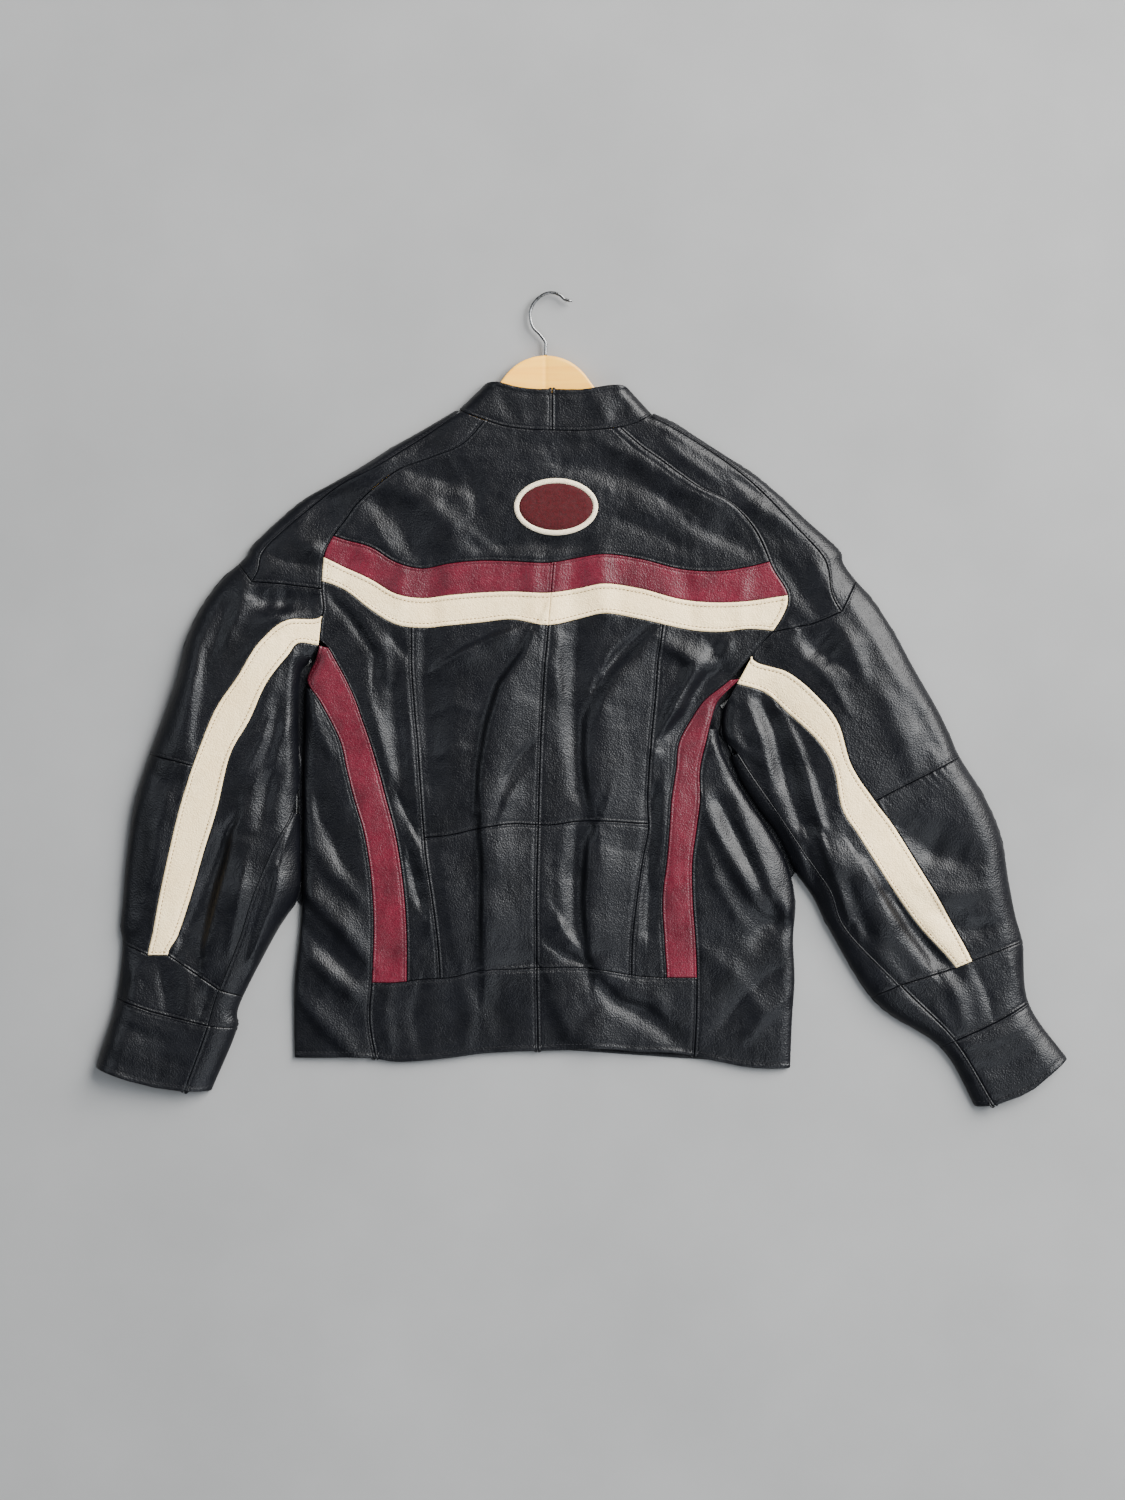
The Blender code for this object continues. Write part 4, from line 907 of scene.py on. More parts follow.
# --- relief
class Relief:
    """How high the outside of the back layer stands, which all its panels share."""

    def __init__(self) -> None:
        """Collect the folded edges that the back layer rolls down to."""
        self.edges = []
        for side, arm in ARMS.items():
            row = COLLAR[0] if side == "left" else COLLAR[-1]
            outside = arm.line(OUTER, NECK, CUFF_HEM, 85)
            self.edges.append(np.vstack((np.array([row.top, row.seam]), outside)))
            self.edges.append(arm.line(INNER, ARMHOLE, CUFF_HEM, 61))
            heights = np.linspace(arm.grid[ARMHOLE, INNER, 1] - 2.0, 1072.0, 61)
            self.edges.append(np.stack((BODY.seam_down(f"side_{side}", heights), heights), axis=-1))
        noise.seed_set(SEED)

    @staticmethod
    def near(points: Array, start: Array, end: Array) -> tuple[Array, Array, Array]:
        """Measure from points to a straight line piece.

        Args:
            points: Places in pixels.
            start: Where the piece starts.
            end: Where it ends.

        Returns:
            The distance, the share along the piece, and which side of it each point is on.
        """
        run = end - start
        share = np.clip(((points - start) @ run) / max(run @ run, 1e-12), 0.0, 1.0)
        away = points - start - share[..., None] * run
        side = np.sign(run[0] * away[..., 1] - run[1] * away[..., 0])
        return np.linalg.norm(away, axis=-1), share, side

    def edge_distance(self, points: Array) -> Array:
        """Give each point's distance to the nearest folded edge.

        Args:
            points: Places in pixels.

        Returns:
            Distances in metres.
        """
        nearest = np.full(points.shape[:-1], 1e3)
        low, high = points.reshape(-1, 2).min(0) - 40, points.reshape(-1, 2).max(0) + 40
        for line in self.edges:
            for start, end in zip(line[:-1], line[1:]):
                if (np.maximum(start, end) >= low).all() and (np.minimum(start, end) <= high).all():
                    nearest = np.minimum(nearest, self.near(points, start, end)[0])
        return nearest * PIXEL

    @staticmethod
    def arm_share(points: Array, zone: Zone) -> Array:
        """Give how far a place takes the arm's fuller form.

        Args:
            points: Places in pixels.
            zone: The layer they are on.

        Returns:
            Shares from 0 on the back to 1 on the sleeve.
        """
        x, y = points[..., 0], points[..., 1]
        across = smooth(np.maximum((338 - x) / 70, (x - 752) / 90))
        if zone is Zone.ARM:
            return across
        start = np.where(x < ORIGIN.x, 640.0, 676.0)
        return across * np.clip(1 - (y - start) / 60, 0.0, 1.0)

    def fold_rise(self, points: Array, fold: Fold, number: int) -> Array:
        """Give what one fold adds to the height.

        Args:
            points: Places in pixels.
            fold: The fold.
            number: Its place in the table, which makes its unevenness its own.

        Returns:
            Heights in metres.
        """
        route = np.array(fold.route, float)
        reach = np.concatenate(([0.0], np.cumsum(np.linalg.norm(np.diff(route, axis=0), axis=-1))))
        flat = points.reshape(-1, 2)
        margin = 3.4 * fold.half_width
        inside = ((flat > route.min(0) - margin) & (flat < route.max(0) + margin)).all(axis=1)
        rise = np.zeros(len(flat))
        if not inside.any():
            return rise.reshape(points.shape[:-1])
        chosen = flat[inside]
        nearest = np.full(len(chosen), 1e9)
        place, hand = np.zeros(len(chosen)), np.ones(len(chosen))
        for index, (start, end) in enumerate(zip(route[:-1], route[1:])):
            away, share, side = self.near(chosen, start, end)
            closer = away < nearest
            nearest = np.where(closer, away, nearest)
            place = np.where(closer, reach[index] + share * (reach[index + 1] - reach[index]), place)
            hand = np.where(closer, side, hand)
        place = place / reach[-1]
        swell = 1 + 0.12 * np.sin(2 * math.pi * (place * (1.3 + number % 3 * 0.5) + number * 0.37))
        width = fold.half_width * (1 - fold.lean * hand) * (0.85 + 0.3 * np.sin(math.pi * place) ** 2)
        fade = 0.35 + 0.65 * np.sin(math.pi * np.clip(place, 0.02, 0.98)) ** 0.6
        rise[inside] = fold.rise * MM * swell * fade * np.exp(-(nearest / width) ** fold.crease.value)
        return rise.reshape(points.shape[:-1])

    def gathers_rise(self, points: Array, gathers: Gathers) -> Array:
        """Give what a row of small tucks adds to the height.

        Args:
            points: Places in pixels.
            gathers: The tucks.

        Returns:
            Heights in metres.
        """
        route = np.array(gathers.route, float)
        start, run = route[0], route[-1] - route[0]
        length = np.linalg.norm(run)
        share = ((points - start) @ run) / length ** 2
        down = (run[0] * (points - start)[..., 1] - run[1] * (points - start)[..., 0]) / length
        tuck = np.sin(2 * math.pi * (share * gathers.count + 0.3 * np.sin(9 * share)))
        inside = smooth(share / 0.1) * smooth((1 - share) / 0.1) * (down > -1.0)
        return gathers.rise * MM * inside * tuck * np.exp(-np.abs(down) / gathers.reach)

    @staticmethod
    def crumple(points: Array, zone: Zone) -> Array:
        """Give the small uneven bumps of soft leather.

        Args:
            points: Places in pixels.
            zone: The layer they are on.

        Returns:
            Heights in metres.
        """
        flat = plan(points).reshape(-1, 2)
        offset = 3.0 if zone is Zone.ARM else 0.0
        rise = []
        for x, y in flat:
            wide = noise.noise(Vector((x * 13, y * 11, offset)))
            middle = noise.noise(Vector((x * 34, y * 28, offset + 5)))
            crease = 1 - abs(noise.noise(Vector((x * 70 + wide, y * 52, offset + 7)))) * 2
            fine = noise.noise(Vector((x * 150, y * 130, offset + 13)))
            rise.append(1.25 * wide + 0.5 * middle + 0.26 * crease + 0.08 * fine)
        return np.array(rise).reshape(points.shape[:-1]) * MM

    @staticmethod
    def flat_height(points: Array) -> Array:
        """Give the shallow creases of the layer that lies on the floor.

        Args:
            points: Places in pixels.

        Returns:
            Heights in metres.
        """
        rise = [noise.noise(Vector((x * 16, y * 11, 21.0))) + 0.5 * noise.noise(Vector((x * 44, y * 36, 29.0)))
                for x, y in plan(points).reshape(-1, 2)]
        return 1.1 * MM * np.clip(np.array(rise).reshape(points.shape[:-1]), 0.0, 0.9)

    def height(self, points: Array, zone: Zone) -> Array:
        """Give the outer height of the back layer.

        Args:
            points: Places in pixels.
            zone: The layer they are on.

        Returns:
            Heights in metres.
        """
        share = self.arm_share(points, zone)
        table = np.array(RISES)
        rises = spline(table[:, 0], table[:, 1:] * MM, np.clip(points[..., 1].ravel(), 380, 1110))
        rises = rises.reshape(points.shape[:-1] + (2,))
        rise = rises[..., 0] * (1 - share) + rises[..., 1] * share + self.crumple(points, zone)
        for number, fold in enumerate(ARM_FOLDS if zone is Zone.ARM else BODY_FOLDS):
            rise = rise + self.fold_rise(points, fold, number)
        for gathers in ARM_GATHERS if zone is Zone.ARM else ():
            rise = rise + self.gathers_rise(points, gathers)
        rise = np.maximum(rise, LEAST_RISE + 0.25 * (rise - LEAST_RISE))
        roll = BODY_ROLL * (1 - share) + SLEEVE_ROLL * share
        inside = 1 - np.clip(self.edge_distance(points) / roll, 0.0, 1.0)
        return FOLD_EDGE + (rise - FOLD_EDGE) * np.sqrt(1 - inside * inside)


RELIEF = Relief()


# --- finishes
class Noise(NamedTuple):
    """A noise texture: bumps to a metre, number of finer layers, and how strong they are."""

    scale: float
    detail: float = 2.0
    roughness: float = 0.5


class Nodes:
    """A short way to wire up one material."""

    def __init__(self, name: str) -> None:
        """Start a material.

        Args:
            name: The material's name.
        """
        self.material = bpy.data.materials.new(name)
        self.material.use_nodes = True
        self.tree = self.material.node_tree
        self.shader = self.tree.nodes["Principled BSDF"]
        self.place = self.add("ShaderNodeTexCoord").outputs["Object"]

    def add(self, kind: str, links: dict[str, Socket] | None = None, **settings: object) -> bpy.types.Node:
        """Add a node.

        Args:
            kind: The node's type.
            links: What feeds its sockets, by their names.
            settings: Its properties, and its sockets' constants by name with "_" for a space.

        Returns:
            The node.
        """
        node = self.tree.nodes.new(kind)
        for key, value in settings.items():
            if hasattr(node, key):
                setattr(node, key, value)
            else:
                node.inputs[key.replace("_", " ")].default_value = value
        for key, source in (links or {}).items():
            self.tree.links.new(source, node.inputs[key])
        return node

    def noise(self, kind: Noise) -> Socket:
        """Add a noise in the object's own coordinates.

        Args:
            kind: The noise.

        Returns:
            Its value.
        """
        return self.add("ShaderNodeTexNoise", {"Vector": self.place}, Scale=kind.scale, Detail=kind.detail,
                        Roughness=kind.roughness).outputs["Fac"]

    def spread(self, value: Socket, low: float = 0.0, high: float = 1.0) -> Socket:
        """Map a noise's middle part to a range.

        Args:
            value: The noise.
            low: What its low part becomes.
            high: What its high part becomes.

        Returns:
            The mapped value.
        """
        return self.add("ShaderNodeMapRange", {"Value": value}, From_Min=0.3, From_Max=0.7, To_Min=low,
                        To_Max=high).outputs["Result"]

    def mix(self, share: Socket, first: Colour | Socket, second: Colour) -> Socket:
        """Mix two colours.

        Args:
            share: The share of the second.
            first: A colour, or the socket that gives it.
            second: A colour.

        Returns:
            The colour.
        """
        node = self.add("ShaderNodeMix", data_type="RGBA")
        self.tree.links.new(share, node.inputs["Factor"])
        if isinstance(first, tuple):
            node.inputs[6].default_value = (*first, 1.0)
        else:
            self.tree.links.new(first, node.inputs[6])
        node.inputs[7].default_value = (*second, 1.0)
        return node.outputs[2]

    def bump(self, value: Socket, depth: float, strength: float, below: Socket | None = None) -> Socket:
        """Turn a value into a bumpy normal.

        Args:
            value: The height.
            depth: What a height of 1 stands for, in metres.
            strength: How much of it shows.
            below: A normal that it is added to.

        Returns:
            The normal.
        """
        links = {"Height": value} if below is None else {"Height": value, "Normal": below}
        return self.add("ShaderNodeBump", links, Strength=strength, Distance=depth).outputs["Normal"]

    def finish(self, colour: Socket, roughness: Socket, normal: Socket) -> Material:
        """Wire the shader up.

        Args:
            colour: Base colour.
            roughness: Roughness.
            normal: Normal.

        Returns:
            The material.
        """
        for name, source in (("Base Color", colour), ("Roughness", roughness), ("Normal", normal)):
            self.tree.links.new(source, self.shader.inputs[name])
        return self.material


@dataclass(frozen=True)
class LeatherFinish:
    """Grained leather: its two tones, its gloss and its grain."""

    name: str
    tone: Colour
    worn: Colour
    roughness: tuple[float, float]
    grain: float
    gloss: float = 0.3
    pores: float = 0.0          # how far the hollows of the grain are darker

    def build(self) -> Material:
        """Make the material.

        Returns:
            The material.
        """
        nodes = Nodes(self.name)
        nodes.shader.inputs["Specular IOR Level"].default_value = self.gloss
        colour = nodes.mix(nodes.spread(nodes.noise(Noise(26.0, 4.0, 0.6))), self.tone, self.worn)
        roughness = nodes.spread(nodes.noise(Noise(60.0, 5.0, 0.65)), *self.roughness)
        cells = nodes.add("ShaderNodeTexVoronoi", {"Vector": nodes.place}, feature="SMOOTH_F1", Scale=640.0,
                          Smoothness=0.6).outputs["Distance"]
        if self.pores:
            deep = tuple(0.5 * part for part in self.worn)
            veins = nodes.spread(nodes.noise(Noise(150.0, 5.0, 0.7)), self.pores, 0.0)
            colour = nodes.mix(veins, colour, deep)
            colour = nodes.mix(nodes.spread(cells, 0.0, self.pores), colour, deep)
        wrinkle = nodes.bump(nodes.noise(Noise(240.0, 5.0, 0.6)), 0.6 * MM, 0.5 * self.grain)
        return nodes.finish(colour, roughness, nodes.bump(cells, 0.35 * MM, self.grain, wrinkle))


@dataclass(frozen=True)
class WoodFinish:
    """Planed pale wood, darker to the right of a line across its middle."""

    name: str
    pale: Colour
    dark: Colour
    shade: float
    joint: tuple[float, float] = (-0.0372, -0.0368)     # where the darker side starts, in metres along X

    def build(self) -> Material:
        """Make the material.

        Returns:
            The material.
        """
        nodes = Nodes(self.name)
        stretched = nodes.add("ShaderNodeMapping", {"Vector": nodes.place}, Scale=(9.0, 160.0, 90.0))
        rings = nodes.add("ShaderNodeTexNoise", {"Vector": stretched.outputs["Vector"]}, Scale=1.0, Detail=5.0,
                          Roughness=0.6, Distortion=0.4).outputs["Fac"]
        colour = nodes.mix(nodes.spread(rings), self.pale, self.dark)
        apart = nodes.add("ShaderNodeSeparateXYZ", {"Vector": nodes.place})
        half = nodes.add("ShaderNodeMapRange", {"Value": apart.outputs["X"]}, From_Min=self.joint[0],
                         From_Max=self.joint[1], To_Min=1.0, To_Max=self.shade)
        scaled = nodes.add("ShaderNodeVectorMath", operation="SCALE")
        nodes.tree.links.new(colour, scaled.inputs[0])
        nodes.tree.links.new(half.outputs["Result"], scaled.inputs["Scale"])
        roughness = nodes.spread(nodes.noise(Noise(120.0)), 0.38, 0.5)
        return nodes.finish(scaled.outputs["Vector"], roughness, nodes.bump(rings, 0.2 * MM, 0.25))


@dataclass(frozen=True)
class PlainFinish:
    """Steel, thread, tape, felt or floor: two tones in patches and a faint bump."""

    name: str
    tone: Colour
    worn: Colour
    roughness: tuple[float, float]
    patches: Noise
    dulling: Noise
    bumps: Noise
    depth: float
    strength: float
    metallic: float = 0.0
    gloss: float = 0.5

    def build(self) -> Material:
        """Make the material.

        Returns:
            The material.
        """
        nodes = Nodes(self.name)
        nodes.shader.inputs["Metallic"].default_value = self.metallic
        nodes.shader.inputs["Specular IOR Level"].default_value = self.gloss
        colour = nodes.mix(nodes.spread(nodes.noise(self.patches)), self.tone, self.worn)
        roughness = nodes.spread(nodes.noise(self.dulling), *self.roughness)
        return nodes.finish(colour, roughness, nodes.bump(nodes.noise(self.bumps), self.depth, self.strength))


def fibres(name: str, tone: Colour, worn: Colour, scale: float = 1500.0, depth: float = 0.1 * MM) -> PlainFinish:
    """Give the finish of thread, tape or felt: fine fibres with no gloss.

    Args:
        name: Its name.
        tone: Its colour.
        worn: Its other colour.
        scale: Fibres to a metre.
        depth: How deep they are, in metres.

    Returns:
        The finish.
    """
    return PlainFinish(name, tone, worn, (0.75, 0.95), Noise(scale, 3.0, 0.7), Noise(0.5 * scale),
                       Noise(scale, 4.0, 0.7), depth, 0.7, gloss=0.2)


FINISHES = {
    Slot.BLACK: LeatherFinish("black_leather", (0.0009, 0.0010, 0.0018), (0.0026, 0.0028, 0.0042), (0.32, 0.43),
                              grain=0.8, gloss=0.22),
    Slot.CREAM: LeatherFinish("cream_leather", (0.95, 0.75, 0.43), (0.86, 0.64, 0.34), (0.45, 0.58),
                              grain=1.3, pores=0.22),
    Slot.BURGUNDY: LeatherFinish("burgundy_leather", (0.120, 0.005, 0.017), (0.052, 0.0025, 0.008),
                                 (0.34, 0.46), grain=0.9, pores=0.3),
    Slot.WOOD: WoodFinish("beech_wood", (0.98, 0.53, 0.06), (0.90, 0.40, 0.03), 0.82),
    Slot.STEEL: PlainFinish("steel", (0.20, 0.20, 0.20), (0.15, 0.15, 0.15), (0.22, 0.34), Noise(300.0, 3.0),
                            Noise(500.0, 4.0), Noise(900.0), 0.1 * MM, 0.2, metallic=1.0),
    Slot.TAPE: fibres("zip_tape", (0.012, 0.012, 0.014), (0.022, 0.022, 0.026), 900.0, 0.3 * MM),
}
THREADS = {
    Slot.BLACK: fibres("black_thread", (0.006, 0.006, 0.007), (0.014, 0.014, 0.016)),
    # the cream thread is dark tan in place of its own lighter colour: painted shade of its stitch holes
    Slot.CREAM: fibres("cream_thread_painted_shade", (0.20, 0.12, 0.055), (0.13, 0.08, 0.035)),
    Slot.BURGUNDY: fibres("red_thread", (0.050, 0.004, 0.009), (0.08, 0.008, 0.016)),
}
BADGE_EDGING = fibres("badge_edging", (0.86, 0.76, 0.58), (0.70, 0.58, 0.40))
BADGE_FELT = fibres("badge_felt", (0.022, 0.0015, 0.002), (0.055, 0.004, 0.006), 420.0, 0.8 * MM)
FLOOR = PlainFinish("floor", (0.215, 0.214, 0.212), (0.180, 0.180, 0.178), (0.7, 0.85), Noise(3.0, 6.0, 0.6),
                    Noise(8.0), Noise(90.0, 5.0), 0.5 * MM, 0.15)
Finish = LeatherFinish | WoodFinish | PlainFinish


@cache
def material(finish: Finish) -> Material:
    """Give a finish's material, which is made at first use.

    Args:
        finish: One of the finishes.

    Returns:
        The material.
    """
    return finish.build()


# --- making pieces
def add_object(name: str, data: bpy.types.ID | None) -> bpy.types.Object:
    """Put an object in the scene.

    Args:
        name: Its name.
        data: Its mesh, lamp or camera.

    Returns:
        The object.
    """
    item = bpy.data.objects.new(name, data)
    bpy.context.scene.collection.objects.link(item)
    return item


def add_mesh(name: str, mesh: Mesh, finish: Finish) -> bpy.types.Object:
    """Put a finished mesh in the scene.

    Args:
        name: The object's name.
        mesh: Its mesh, which is used up.
        finish: Its finish.

    Returns:
        The object.
    """
    data = bpy.data.meshes.new(name)
    mesh.to_mesh(data)
    mesh.free()
    data.materials.append(material(finish))
    return add_object(name, data)


def add_piece(name: str, mesh: Mesh, finish: Finish, node: str | None = None) -> bpy.types.Object:
    """Put a finished mesh in the scene as a piece of the jacket.

    Args:
        name: The piece's name.
        mesh: Its mesh, which is used up.
        finish: Its finish.
        node: The CAD node it stands for, if any.

    Returns:
        The piece.
    """
    piece = add_mesh(name, mesh, finish)
    piece.data.polygons.foreach_set("use_smooth", [True] * len(piece.data.polygons))
    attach(piece, "root")
    if node:
        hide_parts(node)
    return piece


def lattice_mesh(points: Array, up: bool = True) -> Mesh:
    """Make a sheet of cells from a lattice.

    Args:
        points: Places in metres, by row and column.
        up: Whether its outside faces up rather than down.

    Returns:
        The mesh.
    """
    rows, columns = points.shape[:2]
    mesh = bmesh.new()
    bmesh.ops.create_grid(mesh, x_segments=columns - 1, y_segments=rows - 1, size=0.5)
    for vert in mesh.verts:
        column = round((vert.co.x + 0.5) * (columns - 1))
        row = round((0.5 - vert.co.y) * (rows - 1))
        vert.co = points[row, column]
    mesh.normal_update()
    facing = sum(face.normal.z * face.calc_area() for face in mesh.faces)
    if (facing > 0) != up:
        bmesh.ops.reverse_faces(mesh, faces=mesh.faces)
    return mesh


def closed_mesh(points: Array, tolerance: float, rim_round: Vector | None = None) -> Mesh:
    """Make a body from a lattice that runs round it, with its open ends filled.

    Args:
        points: Places in metres, by row and column.
        tolerance: How near points are that become one.
        rim_round: The middle of the small hole to fill, or none to fill them all.

    Returns:
        The mesh.
    """
    mesh = lattice_mesh(points)
    bmesh.ops.remove_doubles(mesh, verts=mesh.verts, dist=tolerance)
    rims = [edge for edge in mesh.edges if edge.is_boundary and (rim_round is None or all(
        (vert.co.xy - rim_round).length < 3 * MM for vert in edge.verts))]
    bmesh.ops.holes_fill(mesh, edges=rims, sides=0)
    bmesh.ops.recalc_face_normals(mesh, faces=mesh.faces)
    return mesh


def add_box(mesh: Mesh, middle: tuple[float, float, float], size: tuple[float, float, float]) -> None:
    """Add a box to a mesh.

    Args:
        mesh: The mesh.
        middle: The box's middle in metres.
        size: Its three lengths in metres.
    """
    verts = bmesh.ops.create_cube(mesh, size=1.0)["verts"]
    matrix = Matrix.Translation(middle) @ Matrix.Diagonal((*size, 1.0))
    bmesh.ops.transform(mesh, matrix=matrix, verts=verts)


class Stitches:
    """A row of short stitches that lie in the leather along a seam."""

    LENGTH = 3.0 * MM
    PITCH = 4.1 * MM
    RADIUS = 0.45 * MM

    def __init__(self, mesh: Mesh | None = None) -> None:
        """Start with no stitches.

        Args:
            mesh: A mesh to add them to, or none for one of their own.
        """
        self.mesh = bmesh.new() if mesh is None else mesh
        self.count = 0

    def run(self, line: Array, sink: float = 0.1 * MM) -> None:
        """Add a row of stitches.

        Args:
            line: Points on the leather along the row, in metres.
            sink: How deep the thread's middle lies in the leather.
        """
        reach = along(line[None], 1)[0]
        count = int(reach[-1] / self.PITCH)
        if count < 2:
            return
        for middle in (np.arange(count) + 0.5) * reach[-1] / count:
            start, end = (Vector(pick(line, reach, middle + way * self.LENGTH / 2)) for way in (-1, 1))
            self.stitch(start, end, sink)

    def stitch(self, start: Vector, end: Vector, sink: float) -> None:
        """Add one stitch.

        Args:
            start: Where it comes out of the leather.
            end: Where it goes in again.
            sink: How deep its middle lies.
        """
        run = end - start
        turn = run.to_track_quat("X", "Z").to_matrix().to_4x4()
        size = Matrix.Diagonal((max(run.length, 0.01 * MM) / 2, self.RADIUS, 0.8 * self.RADIUS, 1.0))
        centre = (start + end) / 2 + Vector((0, 0, 0.6 * self.RADIUS - sink))
        ball = bmesh.ops.create_uvsphere(self.mesh, u_segments=6, v_segments=4, radius=1.0)
        swing = Matrix.Rotation(math.pi / 2, 4, "Y")
        bmesh.ops.transform(self.mesh, matrix=Matrix.Translation(centre) @ turn @ size @ swing, verts=ball["verts"])
        self.count += 1

    def finish(self, name: str, slot: Slot) -> None:
        """Turn the stitches into a piece, where there are any.

        Args:
            name: The piece's name.
            slot: The leather they are sewn in.
        """
        if self.count:
            add_piece(name, self.mesh, THREADS[slot])
        else:
            self.mesh.free()


@dataclass(frozen=True)
class Curl:
    """How far a side of a panel is turned under."""

    radius: float
    angle: float | None         # degrees, or none to turn until it runs back level
    tail: float
    steps: int


CURLS = {
    Side.SEAM: Curl(0.3 * MM, 80.0, 0.0, 2),
    Side.FOLD: Curl(0.0, None, 2.0 * MM, 6),
    Side.HEM: Curl(1.4 * MM, 180.0, 5.0 * MM, 6),
}
CURLS[Side.MIXED] = CURLS[Side.FOLD]


@dataclass
class Panel:
    """One cut piece of leather in the back layer, or in the flat layer below it."""

    name: str
    lattice: Array
    slot: Slot
    sides: Sides
    zone: Zone = Zone.BODY
    stitched: dict[str, float] = field(default_factory=dict)       # how far in from its sides
    rests_on: tuple[str, ...] = ()
    up: bool = True
    folded: Array | None = None        # at a mixed side, 1 where it is folded and 0 where it is sewn
    lift: Array | float = 0.0

    def edge_reach(self) -> dict[str, Array]:
        """Measure how far each point lies from the panel's four sides.

        Returns:
            Distances in metres by the side's name.
        """
        flat = plan(self.lattice)
        down, across = along(flat, 0), along(flat, 1)
        away = {"top": down, "bottom": down[-1:] - down, "start": across, "end": across[:, -1:] - across}
        return {name: reach + STEPS[getattr(self.sides, name)][0] for name, reach in away.items()}

    def surface(self) -> Array:
        """Give the outside of the panel before its sides are turned under.

        Returns:
            Points in metres by row and column.
        """
        if self.up:
            high = RELIEF.height(self.lattice, self.zone)
        else:
            high = 0.05 * MM + RELIEF.flat_height(self.lattice) + self.lift
        reach = self.edge_reach()
        sink = np.zeros_like(high)
        for name, away in reach.items():
            if getattr(self.sides, name) is Side.SEAM:
                sink = np.maximum(sink, SEAM_DROP * (1 - smooth(away / SEAM_ROLL)))
        for name, distance in self.stitched.items():
            sink = sink + STITCH_SINK * np.exp(-((reach[name] - distance) / (0.8 * MM)) ** 2)
            sink = sink - STITCH_PUFF * np.exp(-((reach[name] - 0.5 * distance) / (0.3 * distance)) ** 2)
        high = high - sink if self.up else high + 0.5 * sink
        return raised(self.lattice, high)

    @staticmethod
    def turned(points: Array, curl: Curl, fold: Array | None = None) -> Array:
        """Turn the last row of a lattice under.

        Args:
            points: The lattice, whose last row is turned.
            curl: How.
            fold: For a mixed side, 1 at each place of the row where it is folded and 0 where it is sewn.

        Returns:
            The rows to add after it.
        """
        last, before = points[-1], points[-2]
        up, middle = np.array([0, 0, 1.0]), len(last) // 2
        tangent = unit(last - before)
        run = unit(np.gradient(last, axis=0))
        normal = unit(np.cross(run, tangent))
        if normal[middle, 2] < 0:
            normal = -normal
        tail = np.full(len(last), curl.tail)
        if curl.angle is None:
            level = unit(np.stack((run[:, 1], -run[:, 0], np.zeros(len(run))), axis=-1))
            if level[middle] @ (last[middle] - points[-6, middle]) < 0:
                level = -level
            slope = np.clip(np.arcsin(np.clip(-tangent[:, 2], -1, 1)), math.radians(55), math.pi / 2)
            tangent = level * np.cos(slope)[:, None] - up * np.sin(slope)[:, None]
            normal = level * np.sin(slope)[:, None] + up * np.cos(slope)[:, None]
            radius = np.maximum(last[:, 2] - 0.1 * MM, 0.3 * MM) / (1 + np.cos(slope))
            turn = math.pi - slope
            if fold is not None:
                small = CURLS[Side.SEAM]
                radius = radius * fold + small.radius * (1 - fold)
                turn = turn * fold + math.radians(small.angle) * (1 - fold)
                tail = tail * fold
        else:
            radius = np.full(len(last), curl.radius)
            turn = np.full(len(last), math.radians(curl.angle))
        centre = last - radius[:, None] * normal
        rows = []
        for step in range(1, curl.steps + 1):
            angle = (turn * step / curl.steps)[:, None]
            rows.append(centre + radius[:, None] * (np.cos(angle) * normal + np.sin(angle) * tangent))
        if curl.tail:
            way = np.cos(turn)[:, None] * tangent - np.sin(turn)[:, None] * normal
            rows.append(rows[-1] + way * tail[:, None])
        return np.array(rows)

    def turn_side(self, points: Array, name: str) -> Array:
        """Turn one side of the panel under.

        Args:
            points: The panel's points.
            name: The side.

        Returns:
            The points with the turned rows or columns added.
        """
        side = getattr(self.sides, name)
        flip = (1, 1, 1 if self.up else -1)
        back, columns = name in ("top", "start"), name in ("start", "end")
        facing = points.transpose(1, 0, 2) if columns else points
        facing = (facing[::-1] if back else facing) * flip
        turned = self.turned(facing, CURLS[side], self.folded if side is Side.MIXED else None)
        facing = np.concatenate((facing, turned)) * flip
        facing = facing[::-1] if back else facing
        return facing.transpose(1, 0, 2) if columns else facing

    @staticmethod
    def row_line(points: Array, reach: Array, distance: float, columns: bool) -> Array:
        """Give a line on the panel at a distance from one of its sides.

        Args:
            points: The panel's points.
            reach: Their distances from the side.
            distance: How far from it the line is, in metres.
            columns: Whether the side is the start or the end.

        Returns:
            Points in metres.
        """
        if not columns:
            points, reach = points.transpose(1, 0, 2), reach.T
        line = []
        for row, away in zip(points, reach):
            if away[0] > away[-1]:
                row, away = row[::-1], away[::-1]
            if away[-1] > 2 * distance:
                line.append(pick(row, away, distance))
        return np.array(line)

    def build(self) -> None:
        """Make the panel and its stitches."""
        surface = self.surface()
        points = surface
        for name in ("start", "end", "top", "bottom"):
            points = self.turn_side(points, name)
        mesh = lattice_mesh(points, self.up)
        area = sum(face.calc_area() for face in mesh.faces)
        piece = add_piece(self.name, mesh, FINISHES[self.slot], self.name)
        wall = piece.modifiers.new("wall", "SOLIDIFY")
        wall.thickness, wall.offset, wall.use_rim = WALL, -1.0, True
        stitches = Stitches()
        reach = self.edge_reach()
        for name, distance in self.stitched.items():
            line = self.row_line(surface, reach[name], distance, name in ("start", "end"))
            if len(line) > 3:
                stitches.run(line[2:-2])
        stitches.finish(f"thread_{self.name}", self.slot)


